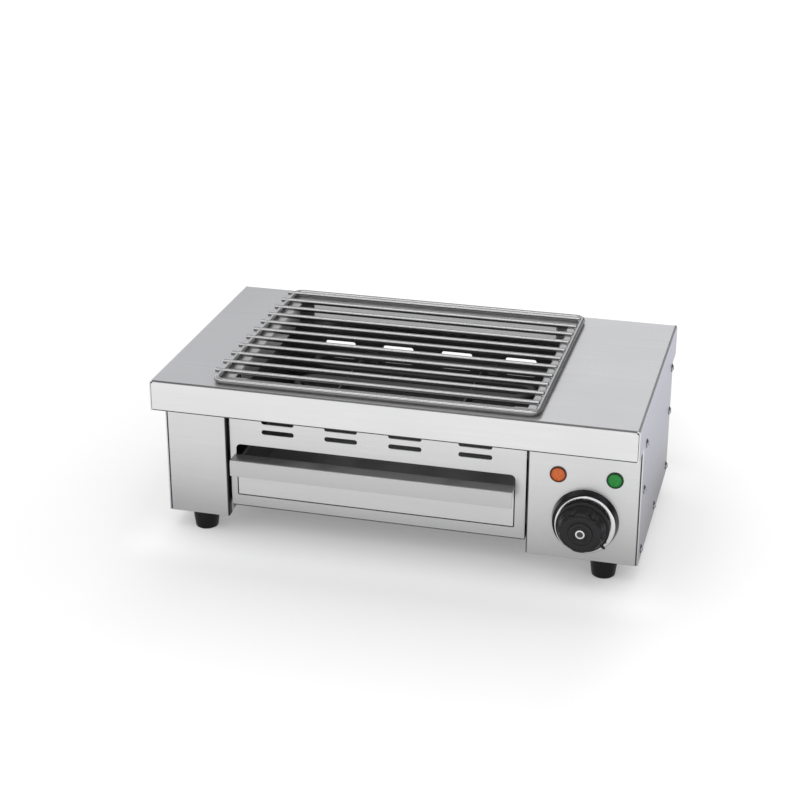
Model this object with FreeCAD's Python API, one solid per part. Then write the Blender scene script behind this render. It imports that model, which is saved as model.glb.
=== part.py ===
import FreeCAD, Part

import math
import os

# Tabletop electric fish roaster: a folded stainless cover with a wire grate over a
# heating chamber, a pull-out drip drawer and a control box at the right.
# Millimetres, +X right, +Y to the rear, +Z up, origin on the table under the middle.

# ---- housing ---------------------------------------------------------------------
sheet = 1.2                    # wall of every folded steel sheet
body_width = 493.0             # across the two side faces
cover_depth = 289.0            # front lip to rear lip
body_height = 162.0            # underside of the side faces to the top
foot_height = 20.0
lip_height = 33.0              # apron folded down at the front and rear
lip_return = 10.0              # hem turned inwards at the foot of each lip
front_overhang = 37.0          # front lip ahead of the piers
rear_overhang = 25.0           # rear lip behind the rear panel
side_bend = 2.0                # inside radius of the fold from the top to the sides
edge_bend = 0.9                # inside radius of every other fold
corner_gap = 0.5               # open seam between a lip and the side face
lip_corner = 2.0               # rounding of the lips' lower corners
seat_gap = 0.3                 # clearance under loose pieces and beside plain edges

cutout_left = 15.4             # pier to the left edge of the cut-out in the top
cutout_front = 29.0            # front lip to its front edge
cutout_rear = 10.0             # its rear edge to the rear panel
skirt_depth = 20.0
corner_relief = 13.0           # skirts stop this far short of the cut-out's corners

pier_width = 65.6
control_width = 113.0
panel_recess = 5.0             # centre panel behind the faces of the piers
panel_gap = 2.2                # dark joint at each side of the centre panel
floor_lift = 11.0              # chamber floor above the underside of the housing
flange = 26.0                  # screwed flanges of the front and rear faces
small_flange = 14.0            # welded flanges

# ---- vent slots in the centre and rear panels ---------------------------------------
slot_length = 34.3
slot_height = 5.0
slot_pitches = (67.0, 67.0, 72.3)
slot_drops = (52.5, 63.7)      # the two rows in the front, below the top
rear_slot_drops = (48.5, 63.7)
rear_slot_shift = 1.8          # rear slots to the right of the front ones

# ---- drip drawer ---------------------------------------------------------------------
opening_left = 8.8             # pier to the drawer opening
opening_right = 13.0           # drawer opening to the control box
opening_top = 80.0             # top of the opening, below the top
opening_sill = 24.2            # underside of the housing to the opening
opening_corner = 5.0           # upper corners of the opening
sill_corner = 1.5              # and its lower ones
drawer_gap = 1.1               # round the drawer front in its opening
ledge_drop = 91.5              # handle ledge, below the top
ledge_depth = 17.0
ledge_left = 1.6               # ledge past the opening at its left end
ledge_right = 0.3              # and at its right end
handle_height = 17.4           # flange turned down from the ledge
tray_sheet = 1.0
tray_side_gap = 1.7
tray_head = 16.1               # tray's rim below the top of the opening
tray_rear_gap = 10.0
tray_corner = 6.0
tray_rim = 2.4                 # safe edge rolled along the tray's sides
runner_shelf = 21.0
runner_wall = 16.0
stop_height = 9.0

# ---- grate ------------------------------------------------------------------------------
grate_left = 17.2              # frame rod past the left edge of the cut-out
grate_right = 15.5
grate_front = 6.5              # front lip to the frame rod
grate_rear = 10.0              # frame rod to the rear lip
frame_rod = 6.0
bar_rod = 5.0
grate_corner = 8.0             # bend of the frame rod, on its centre line
bar_count = 11
bar_lift = 1.5                 # bars' centres above the frame rod's
bar_overhang = 4.1             # bars' left ends past the outside of the frame rod
bar_stop = 2.3                 # frame rod's centre to the bars' right ends
bar_first = 25.4               # front of the grate to the first bar's centre
bar_last = 12.1                # last bar's centre to the rear of the grate

# ---- heating element -----------------------------------------------------------------
heater_tube = 8.0
heater_drop = 52.0             # tube centre below the top
heater_legs = 6
heater_front = 18.0            # centre panel to the first leg
heater_rear = 24.0             # last leg to the rear panel
heater_left = 41.4             # pier to the left bends
heater_right = 25.0            # right bends to the control box
heater_tail = 24.0             # past the divider into the control box
bush_flange = 15.0
bush_thickness = 3.0
bush_thread = 11.0
bush_length = 14.0
nut_flats = 17.0
nut_thickness = 5.0
pin_diameter = 4.0
pin_length = 14.0
insulator_diameter = 9.0
insulator_length = 7.0
comb_left = 87.5               # pier to the left support comb
comb_right = 90.2              # right support comb to the control box
comb_width = 16.0
comb_tab = 12.0

# ---- controls ------------------------------------------------------------------------
lamp_pitch = 56.0
lamp_shift = 2.0               # middle of the lamps from the middle of the control box
lamp_drop = 70.9
lamp_diameter = 17.0
lamp_rim = 1.6                 # height and width of the lens's raised rim
lamp_edge = 0.7                # rounding of the rim
lamp_dish = 0.9                # depth of the dished face of the lens
lamp_slope = 0.7               # width of the slope down into the dish
lamp_rise = 0.4                # rise of the dish towards its middle
lamp_barrel = 12.0
lamp_length = 24.0
lamp_nut = 17.0
lamp_nut_thickness = 3.0
tab_width = 4.8                # flat blade terminals
tab_length = 8.0
tab_thickness = 0.8
knob_shift = 2.5               # knob's axis from the middle of the control box
knob_drop = 118.2
bezel_diameter = 67.2
bezel_front = 63.0             # across the front face of the bezel
bezel_inner = 46.0
bezel_depth = 9.7
bezel_wall = 1.6
bezel_edge = 0.8
skirt_diameter = 53.6
skirt_thickness = 2.6
skirt_edge = 0.8
skirt_gap = 2.4                # between the bezel and the knob's skirt
knob_base = 50.0
knob_face = 43.0
knob_depth = 15.6              # skirt to the front face
knob_edge = 2.2
knob_foot = 0.6                # easing where the grip meets the skirt
knob_wall = 2.6
grip_count = 6
grip_radius = 7.0
grip_bite = 2.2                # depth of the finger grips at the face
grip_foot_bite = 0.8           # and at the skirt
grip_start = 4.2               # back of the skirt to the foot of the grips
grip_end = 1.3                 # their ends short of the face
grip_turn = -3.0               # first grip, degrees above the right-hand side
cap_diameter = 24.0
cap_thickness = 1.6
cap_proud = 0.5
cap_ring = 14.9                # groove round the middle of the cap
groove_width = 1.2
groove_depth = 0.4
button_diameter = 9.4
button_height = 0.7
button_edge = 0.3
button_rim = 1.3
pointer_turn = -42.0           # index of the knob at rest, degrees
pointer_width = 4.0
pointer_shoulder = 2.8         # width where the tip starts
pointer_length = 4.6
pointer_back = 0.8             # back and front of the index, from the back of the skirt
pointer_front = 1.9
hub_diameter = 12.0
shaft_diameter = 6.0
shaft_flat = 4.6
shaft_bore_gap = 0.05
shaft_hole = 13.0
thermostat_width = 44.0
thermostat_height = 40.0
thermostat_depth = 34.0
thermostat_plate = 2.0
thermostat_plate_height = 24.0
thermostat_body = 40.0         # width of the moulded body
thermostat_corner = 4.0
thermostat_bush = 12.4
mount_pitch = 28.0             # the two screws that hold the thermostat
bulb_diameter = 6.0
bulb_length = 80.0
bulb_first = 68.0              # centre panel to the front of the bulb
bulb_drop = 64.0
bulb_inset = 9.0               # bulb centre from the divider
capillary = 2.0
capillary_bend = 9.0
capillary_reach = 22.5         # straight out of the thermostat, then to the divider
clip_width = 6.0

# ---- mains entry and wiring block ----------------------------------------------------
gland_shift = -3.5             # gland's axis from the middle of the control box
gland_drop = 132.0
gland_thread = 18.0
gland_bore = 8.4
gland_flats = 22.0
gland_hex = 6.0
gland_dome = 9.0
gland_cap = 20.0
gland_shoulder = 6.3           # straight part of the cap
gland_nose = 14.0
gland_inside = 9.0
gland_nut = 4.0
terminal_length = 36.0
terminal_width = 18.0
terminal_height = 15.0
terminal_from_rear = 52.0
terminal_ways = 3
terminal_bore = 4.8
terminal_well = 6.0            # diameter of the screw wells
terminal_well_depth = 3.0

# ---- feet ---------------------------------------------------------------------------------
foot_top = 27.6
foot_bottom = 24.2
foot_round = 2.0
foot_inset_x = 35.3
foot_inset_y = 13.6            # from the front and rear faces of the lower body
foot_recess = 12.0
foot_web = 5.0                 # rubber left above the recess
foot_screw = 5.0
foot_head = 9.4
foot_head_height = 3.6
foot_nut_flats = 8.0
foot_nut_height = 4.0

# ---- screws in the sides --------------------------------------------------------------
screw_shank = 4.0
screw_length = 9.0
screw_head = 9.4
screw_head_height = 2.5
screw_gap = 0.05
recess_width = 1.0
recess_length = 4.8
recess_depth = 1.2
screw_inset = 19.0             # end columns, from the front of the lower body
screw_rear_inset = 9.0
screw_drops = (36.2, 86.0)     # upper screws, below the top
screw_rise = 10.3              # lowest screws, above the underside

# ---- derived places ------------------------------------------------------------------------
x_left = -body_width / 2
x_right = body_width / 2
y_front = -cover_depth / 2
y_rear = cover_depth / 2
z_under = foot_height
z_top = z_under + body_height
z_lip = z_top - lip_height
z_soffit = z_lip + sheet       # soffits lie on the lips' hems
z_inside = z_top - sheet
y_pier = y_front + front_overhang
y_panel = y_pier + panel_recess
y_back = y_rear - rear_overhang
x_pier = x_left + pier_width
x_control = x_right - control_width
x_box = x_right - control_width / 2
x_open_left = x_pier + opening_left
x_open_right = x_control - opening_right
z_open_top = z_top - opening_top
z_open_low = z_under + opening_sill
z_floor = z_under + floor_lift
x_cut_left = x_pier + cutout_left
x_cut_right = x_control
y_cut_front = y_front + cutout_front
y_cut_rear = y_back - cutout_rear
z_ledge = z_top - ledge_drop
z_heater = z_top - heater_drop
x_knob = x_box + knob_shift
x_lamps = (x_box + lamp_shift - lamp_pitch / 2, x_box + lamp_shift + lamp_pitch / 2)
x_gland = x_box + gland_shift
y_bulb = y_panel + bulb_first
z_knob = z_top - knob_drop
z_lamp = z_top - lamp_drop
edge_radius = edge_bend + sheet
side_radius = side_bend + sheet
y_bezel = y_pier - bezel_depth
y_skirt = y_bezel - skirt_gap
y_knob_face = y_skirt - skirt_thickness - knob_depth
y_tray = y_panel + sheet
x_tray_left = x_open_left + tray_side_gap
x_tray_right = x_open_right - tray_side_gap
y_tray_rear = y_back - sheet - tray_rear_gap
z_tray = z_open_low + tray_side_gap
z_tray_rim = z_open_top - tray_head
z_shelf = z_tray - seat_gap
over = 1.0                     # cutting tools run this far past a face


# ---- helpers -----------------------------------------------------------------------------
def vec(x, y, z):
    return FreeCAD.Vector(x, y, z)


def block(x, y, z):
    """Box from three (low, high) pairs."""
    return Part.makeBox(x[1] - x[0], y[1] - y[0], z[1] - z[0], vec(x[0], y[0], z[0]))


def rod(diameter, start, end):
    """Round bar between two points."""
    run = vec(*end) - vec(*start)
    return Part.makeCylinder(diameter / 2, run.Length, vec(*start), run)


def along(axis, u, v, w):
    """Point of a section: u, v in its plane and w along the X, Y or Z axis."""
    return {"X": vec(w, u, v), "Y": vec(u, w, v), "Z": vec(u, v, w)}[axis]


def extrude(axis, section, low, high):
    """Solid from a wire of (u, v) edges drawn at height low."""
    face = Part.Face(section)
    return face.extrude(along(axis, 0, 0, high - low))


def folded(axis, path, low, high, thickness=sheet, bend=edge_bend):
    """Folded strip: path is its outer face as (u, v) points, its wall lies to the right."""
    def point(u, v):
        return along(axis, u, v, low)

    steps = [(b[0] - a[0], b[1] - a[1]) for a, b in zip(path, path[1:])]
    lengths = [math.hypot(*step) for step in steps]
    heads = [(step[0] / length, step[1] / length) for step, length in zip(steps, lengths)]

    def side(head, offset):
        return (head[1] * offset, -head[0] * offset)

    faces = []
    for offset in (0.0, thickness):
        edges = []
        shift = side(heads[0], offset)
        last = (path[0][0] + shift[0], path[0][1] + shift[1])
        for corner, before, after in zip(path[1:-1], heads, heads[1:]):
            cross = before[0] * after[1] - before[1] * after[0]
            turn = math.atan2(cross, before[0] * after[0] + before[1] * after[1])
            outer = bend + thickness if cross < 0 else bend
            back = outer * math.tan(abs(turn) / 2)
            inward = side(before, outer if cross < 0 else -outer)
            centre = (corner[0] - before[0] * back + inward[0],
                      corner[1] - before[1] * back + inward[1])
            radius = outer - offset if cross < 0 else outer + offset
            sign = -1.0 if cross < 0 else 1.0
            spots = []
            for share in (0.0, 0.5, 1.0):
                angle = turn * share
                head = (before[0] * math.cos(angle) - before[1] * math.sin(angle),
                        before[0] * math.sin(angle) + before[1] * math.cos(angle))
                out = side(head, radius * sign)
                spots.append((centre[0] + out[0], centre[1] + out[1]))
            edges.append(Part.LineSegment(point(*last), point(*spots[0])).toShape())
            arc = Part.Arc(point(*spots[0]), point(*spots[1]), point(*spots[2]))
            edges.append(arc.toShape())
            last = spots[2]
        shift = side(heads[-1], offset)
        end = (path[-1][0] + shift[0], path[-1][1] + shift[1])
        edges.append(Part.LineSegment(point(*last), point(*end)).toShape())
        faces.append(edges)
    ends = []
    for index in (0, -1):
        shift = side(heads[index], thickness)
        at = path[index]
        ends.append(Part.LineSegment(point(*at), point(at[0] + shift[0], at[1] + shift[1])))
    edges = faces[0] + faces[1] + [end.toShape() for end in ends]
    wire = Part.Wire(Part.__sortEdges__(edges))
    return extrude(axis, wire, low, high)


def bent_rod(points, diameter, bend):
    """Round bar along straight runs joined by tangent arcs."""
    spots = [vec(*point) for point in points]
    edges = []
    last = spots[0]
    for before, corner, after in zip(spots, spots[1:], spots[2:]):
        incoming = (corner - before).normalize()
        outgoing = (after - corner).normalize()
        turn = incoming.getAngle(outgoing)
        back = bend * math.tan(turn / 2)
        start = corner - incoming * back
        end = corner + outgoing * back
        inward = (outgoing - incoming).normalize()
        middle = corner + inward * (bend / math.cos(turn / 2) - bend)
        if (start - last).Length > 1e-6:
            edges.append(Part.LineSegment(last, start).toShape())
        edges.append(Part.Arc(start, middle, end).toShape())
        last = end
    edges.append(Part.LineSegment(last, spots[-1]).toShape())
    path = Part.Wire(edges)
    ring = Part.Wire(Part.makeCircle(diameter / 2, spots[0], spots[1] - spots[0]))
    return path.makePipeShell([ring], True, False)


def turned(profile, centre, axis):
    """Solid of revolution: profile gives (distance along the axis, radius) points."""
    direction = vec(*axis)
    across = vec(0, 0, 1) if abs(direction.z) < 0.5 else vec(1, 0, 0)
    spots = [vec(*centre) + direction * along_axis + across * radius
             for along_axis, radius in profile]
    face = Part.Face(Part.makePolygon(spots + spots[:1]))
    return face.revolve(vec(*centre), direction, 360)


def hexagon(flats, centre, axis, height):
    """Hexagonal prism across its flats."""
    direction = vec(*axis)
    across = vec(0, 0, 1) if abs(direction.z) < 0.5 else vec(1, 0, 0)
    other = direction.cross(across)
    radius = flats / math.sqrt(3)
    spots = []
    for corner in range(7):
        angle = math.radians(60 * corner)
        spots.append(vec(*centre) + across * (radius * math.cos(angle))
                     + other * (radius * math.sin(angle)))
    return Part.Face(Part.makePolygon(spots)).extrude(direction * height)


def slot(x, y, z, length, height, depth):
    """Round-ended slot through a panel, from y backwards."""
    half = length / 2 - height / 2
    tool = block((x - half, x + half), (y, y + depth), (z - height / 2, z + height / 2))
    for end in (-half, half):
        tool = tool.fuse(rod(height, (x + end, y, z), (x + end, y + depth, z)))
    return tool.removeSplitter()


def slot_places():
    """Middles of the slots in a row, centred between the pier and the control box."""
    places = [(x_pier + x_control - sum(slot_pitches)) / 2]
    for pitch in slot_pitches:
        places.append(places[-1] + pitch)
    return places


def slot_tools(y, drops, shift=0.0):
    """Rows of vent slots as cutting tools through the sheet at y."""
    return [slot(x + shift, y - sheet, z_top - drop, slot_length, slot_height, 3 * sheet)
            for drop in drops for x in slot_places()]


def rounded(x, y, z, radius):
    """Box with its four corners rounded in the X, Z plane."""
    solid = block(x, y, z)
    corners = [edge for edge in solid.Edges
               if abs(edge.tangentAt(edge.FirstParameter).y) > 0.99]
    return solid.makeFillet(radius, corners)


def round_corner(face, radius, size, side=1, steps=4):
    """Profile points of a rounded corner at the far (1) or near (-1) end of a turned piece."""
    turns = [math.pi / 2 * step / steps for step in range(steps + 1)]
    points = [(face - side * size * (1 - math.sin(turn)), radius - size * (1 - math.cos(turn)))
              for turn in turns]
    return points[::side]


def group(solids):
    return Part.makeCompound(solids)


# ---- outer cover ----------------------------------------------------------------------------
def side_screw_places():
    """(y, z) of the screws in each side face."""
    front = y_pier + screw_inset
    rear = y_back - screw_rear_inset
    places = [(y, z_top - drop) for y in (front, rear) for drop in screw_drops]
    low = z_under + screw_rise
    return places + [(y, low) for y in (front, (front + rear) / 2, rear)]


def drill_sides(piece):
    """Clears the holes of the side screws."""
    for y, z in side_screw_places():
        hole = screw_shank + 2 * screw_gap
        piece = piece.cut(rod(hole, (x_left - over, y, z), (x_right + over, y, z)))
    return piece


def edge_strip(axis, edge, inward, run, foot, hem=0.0):
    """Strip of the top turned down at an edge; inward points from the edge into the top."""
    path = [(edge + inward * 2 * edge_radius, z_top), (edge, z_top), (edge, foot)]
    if hem:
        path.append((edge + inward * hem, foot))
    if inward > 0:
        path.reverse()
    return folded(axis, path, *run)


def lip(edge, inward):
    """Apron with a hem, its lower corners rounded and a relief at each upper corner."""
    ends = (x_left + sheet + corner_gap, x_right - sheet - corner_gap)
    strip = edge_strip("X", edge, inward, ends, z_lip, lip_return)
    across = (y_front - over, y_rear + over)
    strip = strip.common(rounded(ends, across, (z_lip, z_top + lip_height), lip_corner))
    relief = (z_top - side_radius, z_top + over)
    strip = strip.cut(block((x_left, x_left + side_radius), across, relief))
    return strip.cut(block((x_right - side_radius, x_right), across, relief))


def folded_in(cover, axis, edge, inward, run, strip):
    """The cover with the flat margin of one edge swapped for its folded strip."""
    margin = sorted((edge, edge + inward * edge_radius))
    wall = (z_inside, z_top)
    flat = block(margin, run, wall) if axis == "Y" else block(run, margin, wall)
    return cover.cut(flat).fuse(strip)


def outer_cover():
    """Top, sides, lips and the four skirts of the cut-out, folded from one sheet."""
    arch = [(x_left, z_under), (x_left, z_top), (x_right, z_top), (x_right, z_under)]
    cover = folded("Y", arch, y_front, y_rear, bend=side_bend)
    across = (x_left - over, x_right + over)
    cover = cover.cut(block(across, (y_front - over, y_pier), (z_under - over, z_lip)))
    cover = cover.cut(block(across, (y_back, y_rear + over), (z_under - over, z_lip)))
    flat_run = (x_left + side_radius, x_right - side_radius)
    for edge, inward in ((y_front, 1), (y_rear, -1)):
        cover = folded_in(cover, "X", edge, inward, flat_run, lip(edge, inward))
    cover = cover.cut(block((x_cut_left, x_cut_right), (y_cut_front, y_cut_rear),
                            (z_inside - over, z_top + over)))
    side_run = (y_cut_front + corner_relief, y_cut_rear - corner_relief)
    end_run = (x_cut_left + corner_relief, x_cut_right - corner_relief)
    for axis, edge, inward, run in (("Y", x_cut_left, -1, side_run),
                                    ("Y", x_cut_right, 1, side_run),
                                    ("X", y_cut_front, -1, end_run),
                                    ("X", y_cut_rear, 1, end_run)):
        skirt = edge_strip(axis, edge, inward, run, z_top - skirt_depth)
        cover = folded_in(cover, axis, edge, inward, run, skirt)
    return drill_sides(cover).removeSplitter()


def soffit(edge_y, inner_y):
    """Strip that closes the underside of an overhang, lying on the lip's hem."""
    y = sorted((edge_y, inner_y))
    return block((x_left + sheet, x_right - sheet), y, (z_soffit, z_soffit + sheet))


# ---- lower body -----------------------------------------------------------------------------
def pier_front():
    """Left pier: front face with a screw flange and a weld flange turned back."""
    outer = x_left + sheet
    path = [(x_pier, y_pier + small_flange), (x_pier, y_pier), (outer, y_pier),
            (outer, y_pier + flange)]
    return drill_sides(folded("Z", path, z_under, z_soffit))


def control_panel():
    """Front of the control box with its lamp and shaft holes."""
    outer = x_right - sheet
    path = [(outer, y_pier + flange), (outer, y_pier), (x_control, y_pier),
            (x_control, y_pier + small_flange)]
    face = folded("Z", path, z_under, z_soffit)
    front = y_pier - over
    back = y_pier + 2 * sheet
    for x in x_lamps:
        face = face.cut(rod(lamp_barrel + 2 * seat_gap, (x, front, z_lamp), (x, back, z_lamp)))
    face = face.cut(rod(shaft_hole, (x_knob, front, z_knob), (x_knob, back, z_knob)))
    for side in (-0.5, 0.5):
        x = x_knob + side * mount_pitch
        hole = screw_shank + 2 * screw_gap
        face = face.cut(rod(hole, (x, front, z_knob), (x, back, z_knob)))
    return drill_sides(face)


def chamber_wall(x):
    """T-shaped wall from x to the right, up to the top and out into both overhangs."""
    wall = block((x, x + sheet), (y_panel + sheet, y_back - sheet),
                 (z_under + sheet, z_soffit + sheet))
    upper = block((x, x + sheet), (y_front + edge_radius, y_rear - edge_radius),
                  (z_soffit + sheet, z_top - edge_radius - seat_gap))
    return wall.fuse(upper).removeSplitter()


def pier_wall():
    return chamber_wall(x_pier - 2 * sheet)


def divider_wall():
    """Wall between the heating chamber and the control box."""
    wall = chamber_wall(x_control + sheet)
    x = (x_control, x_control + 3 * sheet)
    hole = bush_thread + 2 * seat_gap
    for y in heater_ends():
        wall = wall.cut(rod(hole, (x[0], y, z_heater), (x[1], y, z_heater)))
    y, z = capillary_entry()
    return wall.cut(rod(3 * capillary, (x[0], y, z), (x[1], y, z)))


def centre_panel():
    """Recessed front between the piers: vent slots, drawer opening, foot flange."""
    sides = (x_pier + panel_gap, x_control - panel_gap)
    path = [(y_panel + small_flange, z_floor), (y_panel, z_floor), (y_panel, z_soffit)]
    face = folded("X", path, *sides)
    across = (x_open_left, x_open_right)
    depth = (y_panel - over, y_panel + 2 * sheet)
    z_straight = z_open_top - 2 * opening_corner
    face = face.cut(rounded(across, depth, (z_open_low, z_open_top), opening_corner))
    face = face.cut(rounded(across, depth, (z_open_low, z_straight), sill_corner))
    for tool in slot_tools(y_panel, slot_drops):
        face = face.cut(tool)
    return face


def chamber_floor():
    """Floor of the chamber with its side edges turned up along the walls."""
    left = x_pier - sheet
    right = x_control + sheet
    low = z_floor + sheet
    high = z_shelf - sheet - seat_gap
    path = [(right, high), (right, low), (left, low), (left, high)]
    return folded("Y", path, y_pier + small_flange + sheet, y_back - sheet)


def rear_panel():
    """Full-width rear face with side flanges, vent slots and the cable entry."""
    left = x_left + sheet
    right = x_right - sheet
    path = [(left, y_back - flange), (left, y_back), (right, y_back), (right, y_back - flange)]
    face = folded("Z", path, z_under, z_soffit)
    for tool in slot_tools(y_back - sheet, rear_slot_drops, rear_slot_shift):
        face = face.cut(tool)
    z = z_top - gland_drop
    face = face.cut(rod(gland_thread + 2 * seat_gap, (x_gland, y_back - 3 * sheet, z),
                        (x_gland, y_back + over, z)))
    return drill_sides(face)


def base_plate(left, right, screw_edge):
    """Bottom of a pier with one edge turned up behind the side screws."""
    y = (y_pier + edge_radius, y_back - edge_radius)
    path = [(left, z_under), (right, z_under)]
    if screw_edge < 0:
        path.insert(0, (left, z_under + small_flange))
    else:
        path.append((right, z_under + small_flange))
    plate = folded("Y", path[::-1], *y)
    for x, spot in foot_places():
        hole = foot_screw + 2 * seat_gap
        plate = plate.cut(rod(hole, (x, spot, z_under - over), (x, spot, z_under + 2 * sheet)))
    margin = sorted((screw_edge * x_right, screw_edge * (x_right - sheet - edge_radius - seat_gap)))
    notches = ((y[0] - over, y[0] + flange), (y[1] - flange, y[1] + over))
    for run in notches:
        plate = plate.cut(block(margin, run, (z_under - over, z_under + 2 * small_flange)))
    return drill_sides(plate)


def pier_base():
    return base_plate(x_left + sheet, x_pier - sheet, -1)


def control_base():
    return base_plate(x_control + sheet, x_right - sheet, 1)


# ---- grate ----------------------------------------------------------------------------------
def grate():
    """Frame rod bent into a rounded loop; bars lie over its left side and stop at its right."""
    z = z_top + seat_gap + frame_rod / 2
    half = frame_rod / 2
    x = (x_cut_left - grate_left + half, x_cut_right + grate_right - half)
    y = (y_front + grate_front + half, y_rear - grate_rear - half)
    middle = (x[0] + x[1]) / 2
    half_loops = []
    for side in x:
        points = [(middle, y[0], z), (side, y[0], z), (side, y[1], z), (middle, y[1], z)]
        half_loops.append(bent_rod(points, frame_rod, grate_corner))
    piece = half_loops[0].fuse(half_loops[1])
    first = y_front + grate_front + bar_first
    pitch = (y_rear - grate_rear - bar_last - first) / (bar_count - 1)
    for bar in range(bar_count):
        place = first + bar * pitch
        piece = piece.fuse(rod(bar_rod, (x[0] - half - bar_overhang, place, z + bar_lift),
                               (x[1] - bar_stop, place, z + bar_lift)))
    return piece.removeSplitter()


# ---- heating element --------------------------------------------------------------------
def heater_ends():
    """Depths of the two legs that pass through the divider."""
    return (y_panel + heater_front, y_back - heater_rear)


def heater_rows():
    """Depths of all the legs."""
    first, last = heater_ends()
    return [first + (last - first) * leg / (heater_legs - 1) for leg in range(heater_legs)]


def heating_element():
    """Sheathed tube bent into a flat serpentine, both ends in the control box."""
    bends = (x_pier + heater_left, x_control - heater_right)
    tail = x_control + heater_tail
    rows = heater_rows()
    points = [(tail, rows[0], z_heater)]
    for leg in range(heater_legs - 1):
        turn = bends[leg % 2]
        points += [(turn, rows[leg], z_heater), (turn, rows[leg + 1], z_heater)]
    points.append((tail, rows[-1], z_heater))
    return bent_rod(points, heater_tube, (rows[1] - rows[0]) / 2)


def heater_bushes():
    """Threaded bush on each end of the tube, its flange on the chamber side."""
    bore = heater_tube / 2
    x = x_control + sheet - bush_thickness
    profile = [(0, bore), (0, bush_flange / 2), (bush_thickness, bush_flange / 2),
               (bush_thickness, bush_thread / 2), (bush_length, bush_thread / 2),
               (bush_length, bore)]
    return group([turned(profile, (x, y, z_heater), (1, 0, 0)) for y in heater_ends()])


def heater_nuts():
    """Nuts that clamp the bushes to the divider."""
    x = x_control + 2 * sheet
    nuts = []
    for y in heater_ends():
        nut = hexagon(nut_flats, (x, y, z_heater), (1, 0, 0), nut_thickness)
        end = x + 2 * nut_thickness
        nuts.append(nut.cut(rod(bush_thread, (x - over, y, z_heater), (end, y, z_heater))))
    return group(nuts)


def heater_insulators():
    """Ceramic collars on the ends of the tube."""
    x = x_control + heater_tail
    collars = []
    for y in heater_ends():
        collar = rod(insulator_diameter, (x, y, z_heater), (x + insulator_length, y, z_heater))
        collars.append(collar.cut(rod(pin_diameter, (x - over, y, z_heater),
                                      (x + 2 * insulator_length, y, z_heater))))
    return group(collars)


def heater_pins():
    """Terminal pins in the collars."""
    x = x_control + heater_tail
    return group([rod(pin_diameter, (x, y, z_heater), (x + pin_length, y, z_heater))
                  for y in heater_ends()])


def support_comb(x):
    """Upright strip across the chamber with a saddle for every leg of the tube."""
    y = (y_panel + sheet, y_back - sheet)
    low = z_heater - comb_width
    path = [(x + comb_tab, y[0]), (x, y[0]), (x, y[1]), (x + comb_tab, y[1])]
    strip = folded("Z", path, low, z_heater)
    saddle = heater_tube + 2 * seat_gap
    for row in heater_rows():
        strip = strip.cut(rod(saddle, (x - comb_tab, row, z_heater), (x + comb_tab, row, z_heater)))
    return strip


# ---- drawer ---------------------------------------------------------------------------------
def drawer_front():
    """Front plate, handle ledge and the flange turned down from it, one folded strip."""
    foot = z_open_low + drawer_gap
    reach = y_panel - ledge_depth
    plate_x = (x_open_left + drawer_gap, x_open_right - drawer_gap)
    ledge_x = (x_open_left - ledge_left, x_open_right + ledge_right)
    path = [(reach, z_ledge - handle_height), (reach, z_ledge), (y_panel + sheet, z_ledge),
            (y_panel + sheet, foot)]
    narrow = folded("X", path, *plate_x)
    depth = (reach - over, y_panel + 2 * sheet)
    corner = sill_corner - drawer_gap
    narrow = narrow.common(rounded(plate_x, depth, (foot, z_top), corner))
    wide = folded("X", path, *ledge_x)
    wide = wide.common(block(ledge_x, (reach - over, y_panel - seat_gap), (foot, z_ledge + over)))
    return narrow.fuse(wide).removeSplitter()


def drawer_tray():
    """Drip pan behind the drawer front, open at the top, its side rims rolled over."""
    x = (x_tray_left, x_tray_right)
    y = (y_tray, y_tray_rear)
    z = (z_tray, z_tray_rim)
    outer = block(x, y, z)
    uprights = [edge for edge in outer.Edges
                if abs(edge.tangentAt(edge.FirstParameter).z) > 0.99]
    outer = outer.makeFillet(tray_corner, uprights)
    wall = tray_sheet
    inner = block((x[0] + wall, x[1] - wall), (y[0] + wall, y[1] - wall), (z[0] + wall, z[1] + over))
    uprights = [edge for edge in inner.Edges
                if abs(edge.tangentAt(edge.FirstParameter).z) > 0.99]
    inner = inner.makeFillet(tray_corner - wall, uprights)
    pan = outer.cut(inner)
    rim_y = (y[0] + tray_corner, y[1] - tray_corner)
    for side in (x[0] + tray_rim / 2, x[1] - tray_rim / 2):
        height = z[1] - tray_rim / 2
        pan = pan.fuse(rod(tray_rim, (side, rim_y[0], height), (side, rim_y[1], height)))
    return pan.removeSplitter()


def runner(side):
    """Angle that carries one edge of the tray, with a stop turned up at its rear."""
    wall_x = x_pier - sheet if side < 0 else x_control + sheet
    y = (y_pier + small_flange + sheet, y_tray_rear + seat_gap + sheet)
    low = z_shelf - sheet
    inner = wall_x - side * runner_shelf
    path = [(wall_x, low + runner_wall), (wall_x, low), (inner, low)]
    if side < 0:
        path.reverse()
    angle = folded("Y", path, *y)
    shelf = sorted((inner, inner + side * stop_height))
    stop = block(shelf, (y[1] - sheet, y[1]), (low, z_shelf + stop_height))
    return angle.fuse(stop).removeSplitter()


# ---- lamps ----------------------------------------------------------------------------------
def lamp_lens(x):
    """Coloured cap with a rounded rim and a dished face."""
    radius = lamp_diameter / 2
    dish = lamp_rim - lamp_dish
    profile = [(0, 0), (0, radius), *round_corner(lamp_rim, radius, lamp_edge),
               (lamp_rim, radius - lamp_rim), (dish, radius - lamp_rim - lamp_slope),
               (dish + lamp_rise, 0)]
    return turned(profile, (x, y_pier, z_lamp), (0, -1, 0))


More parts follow.
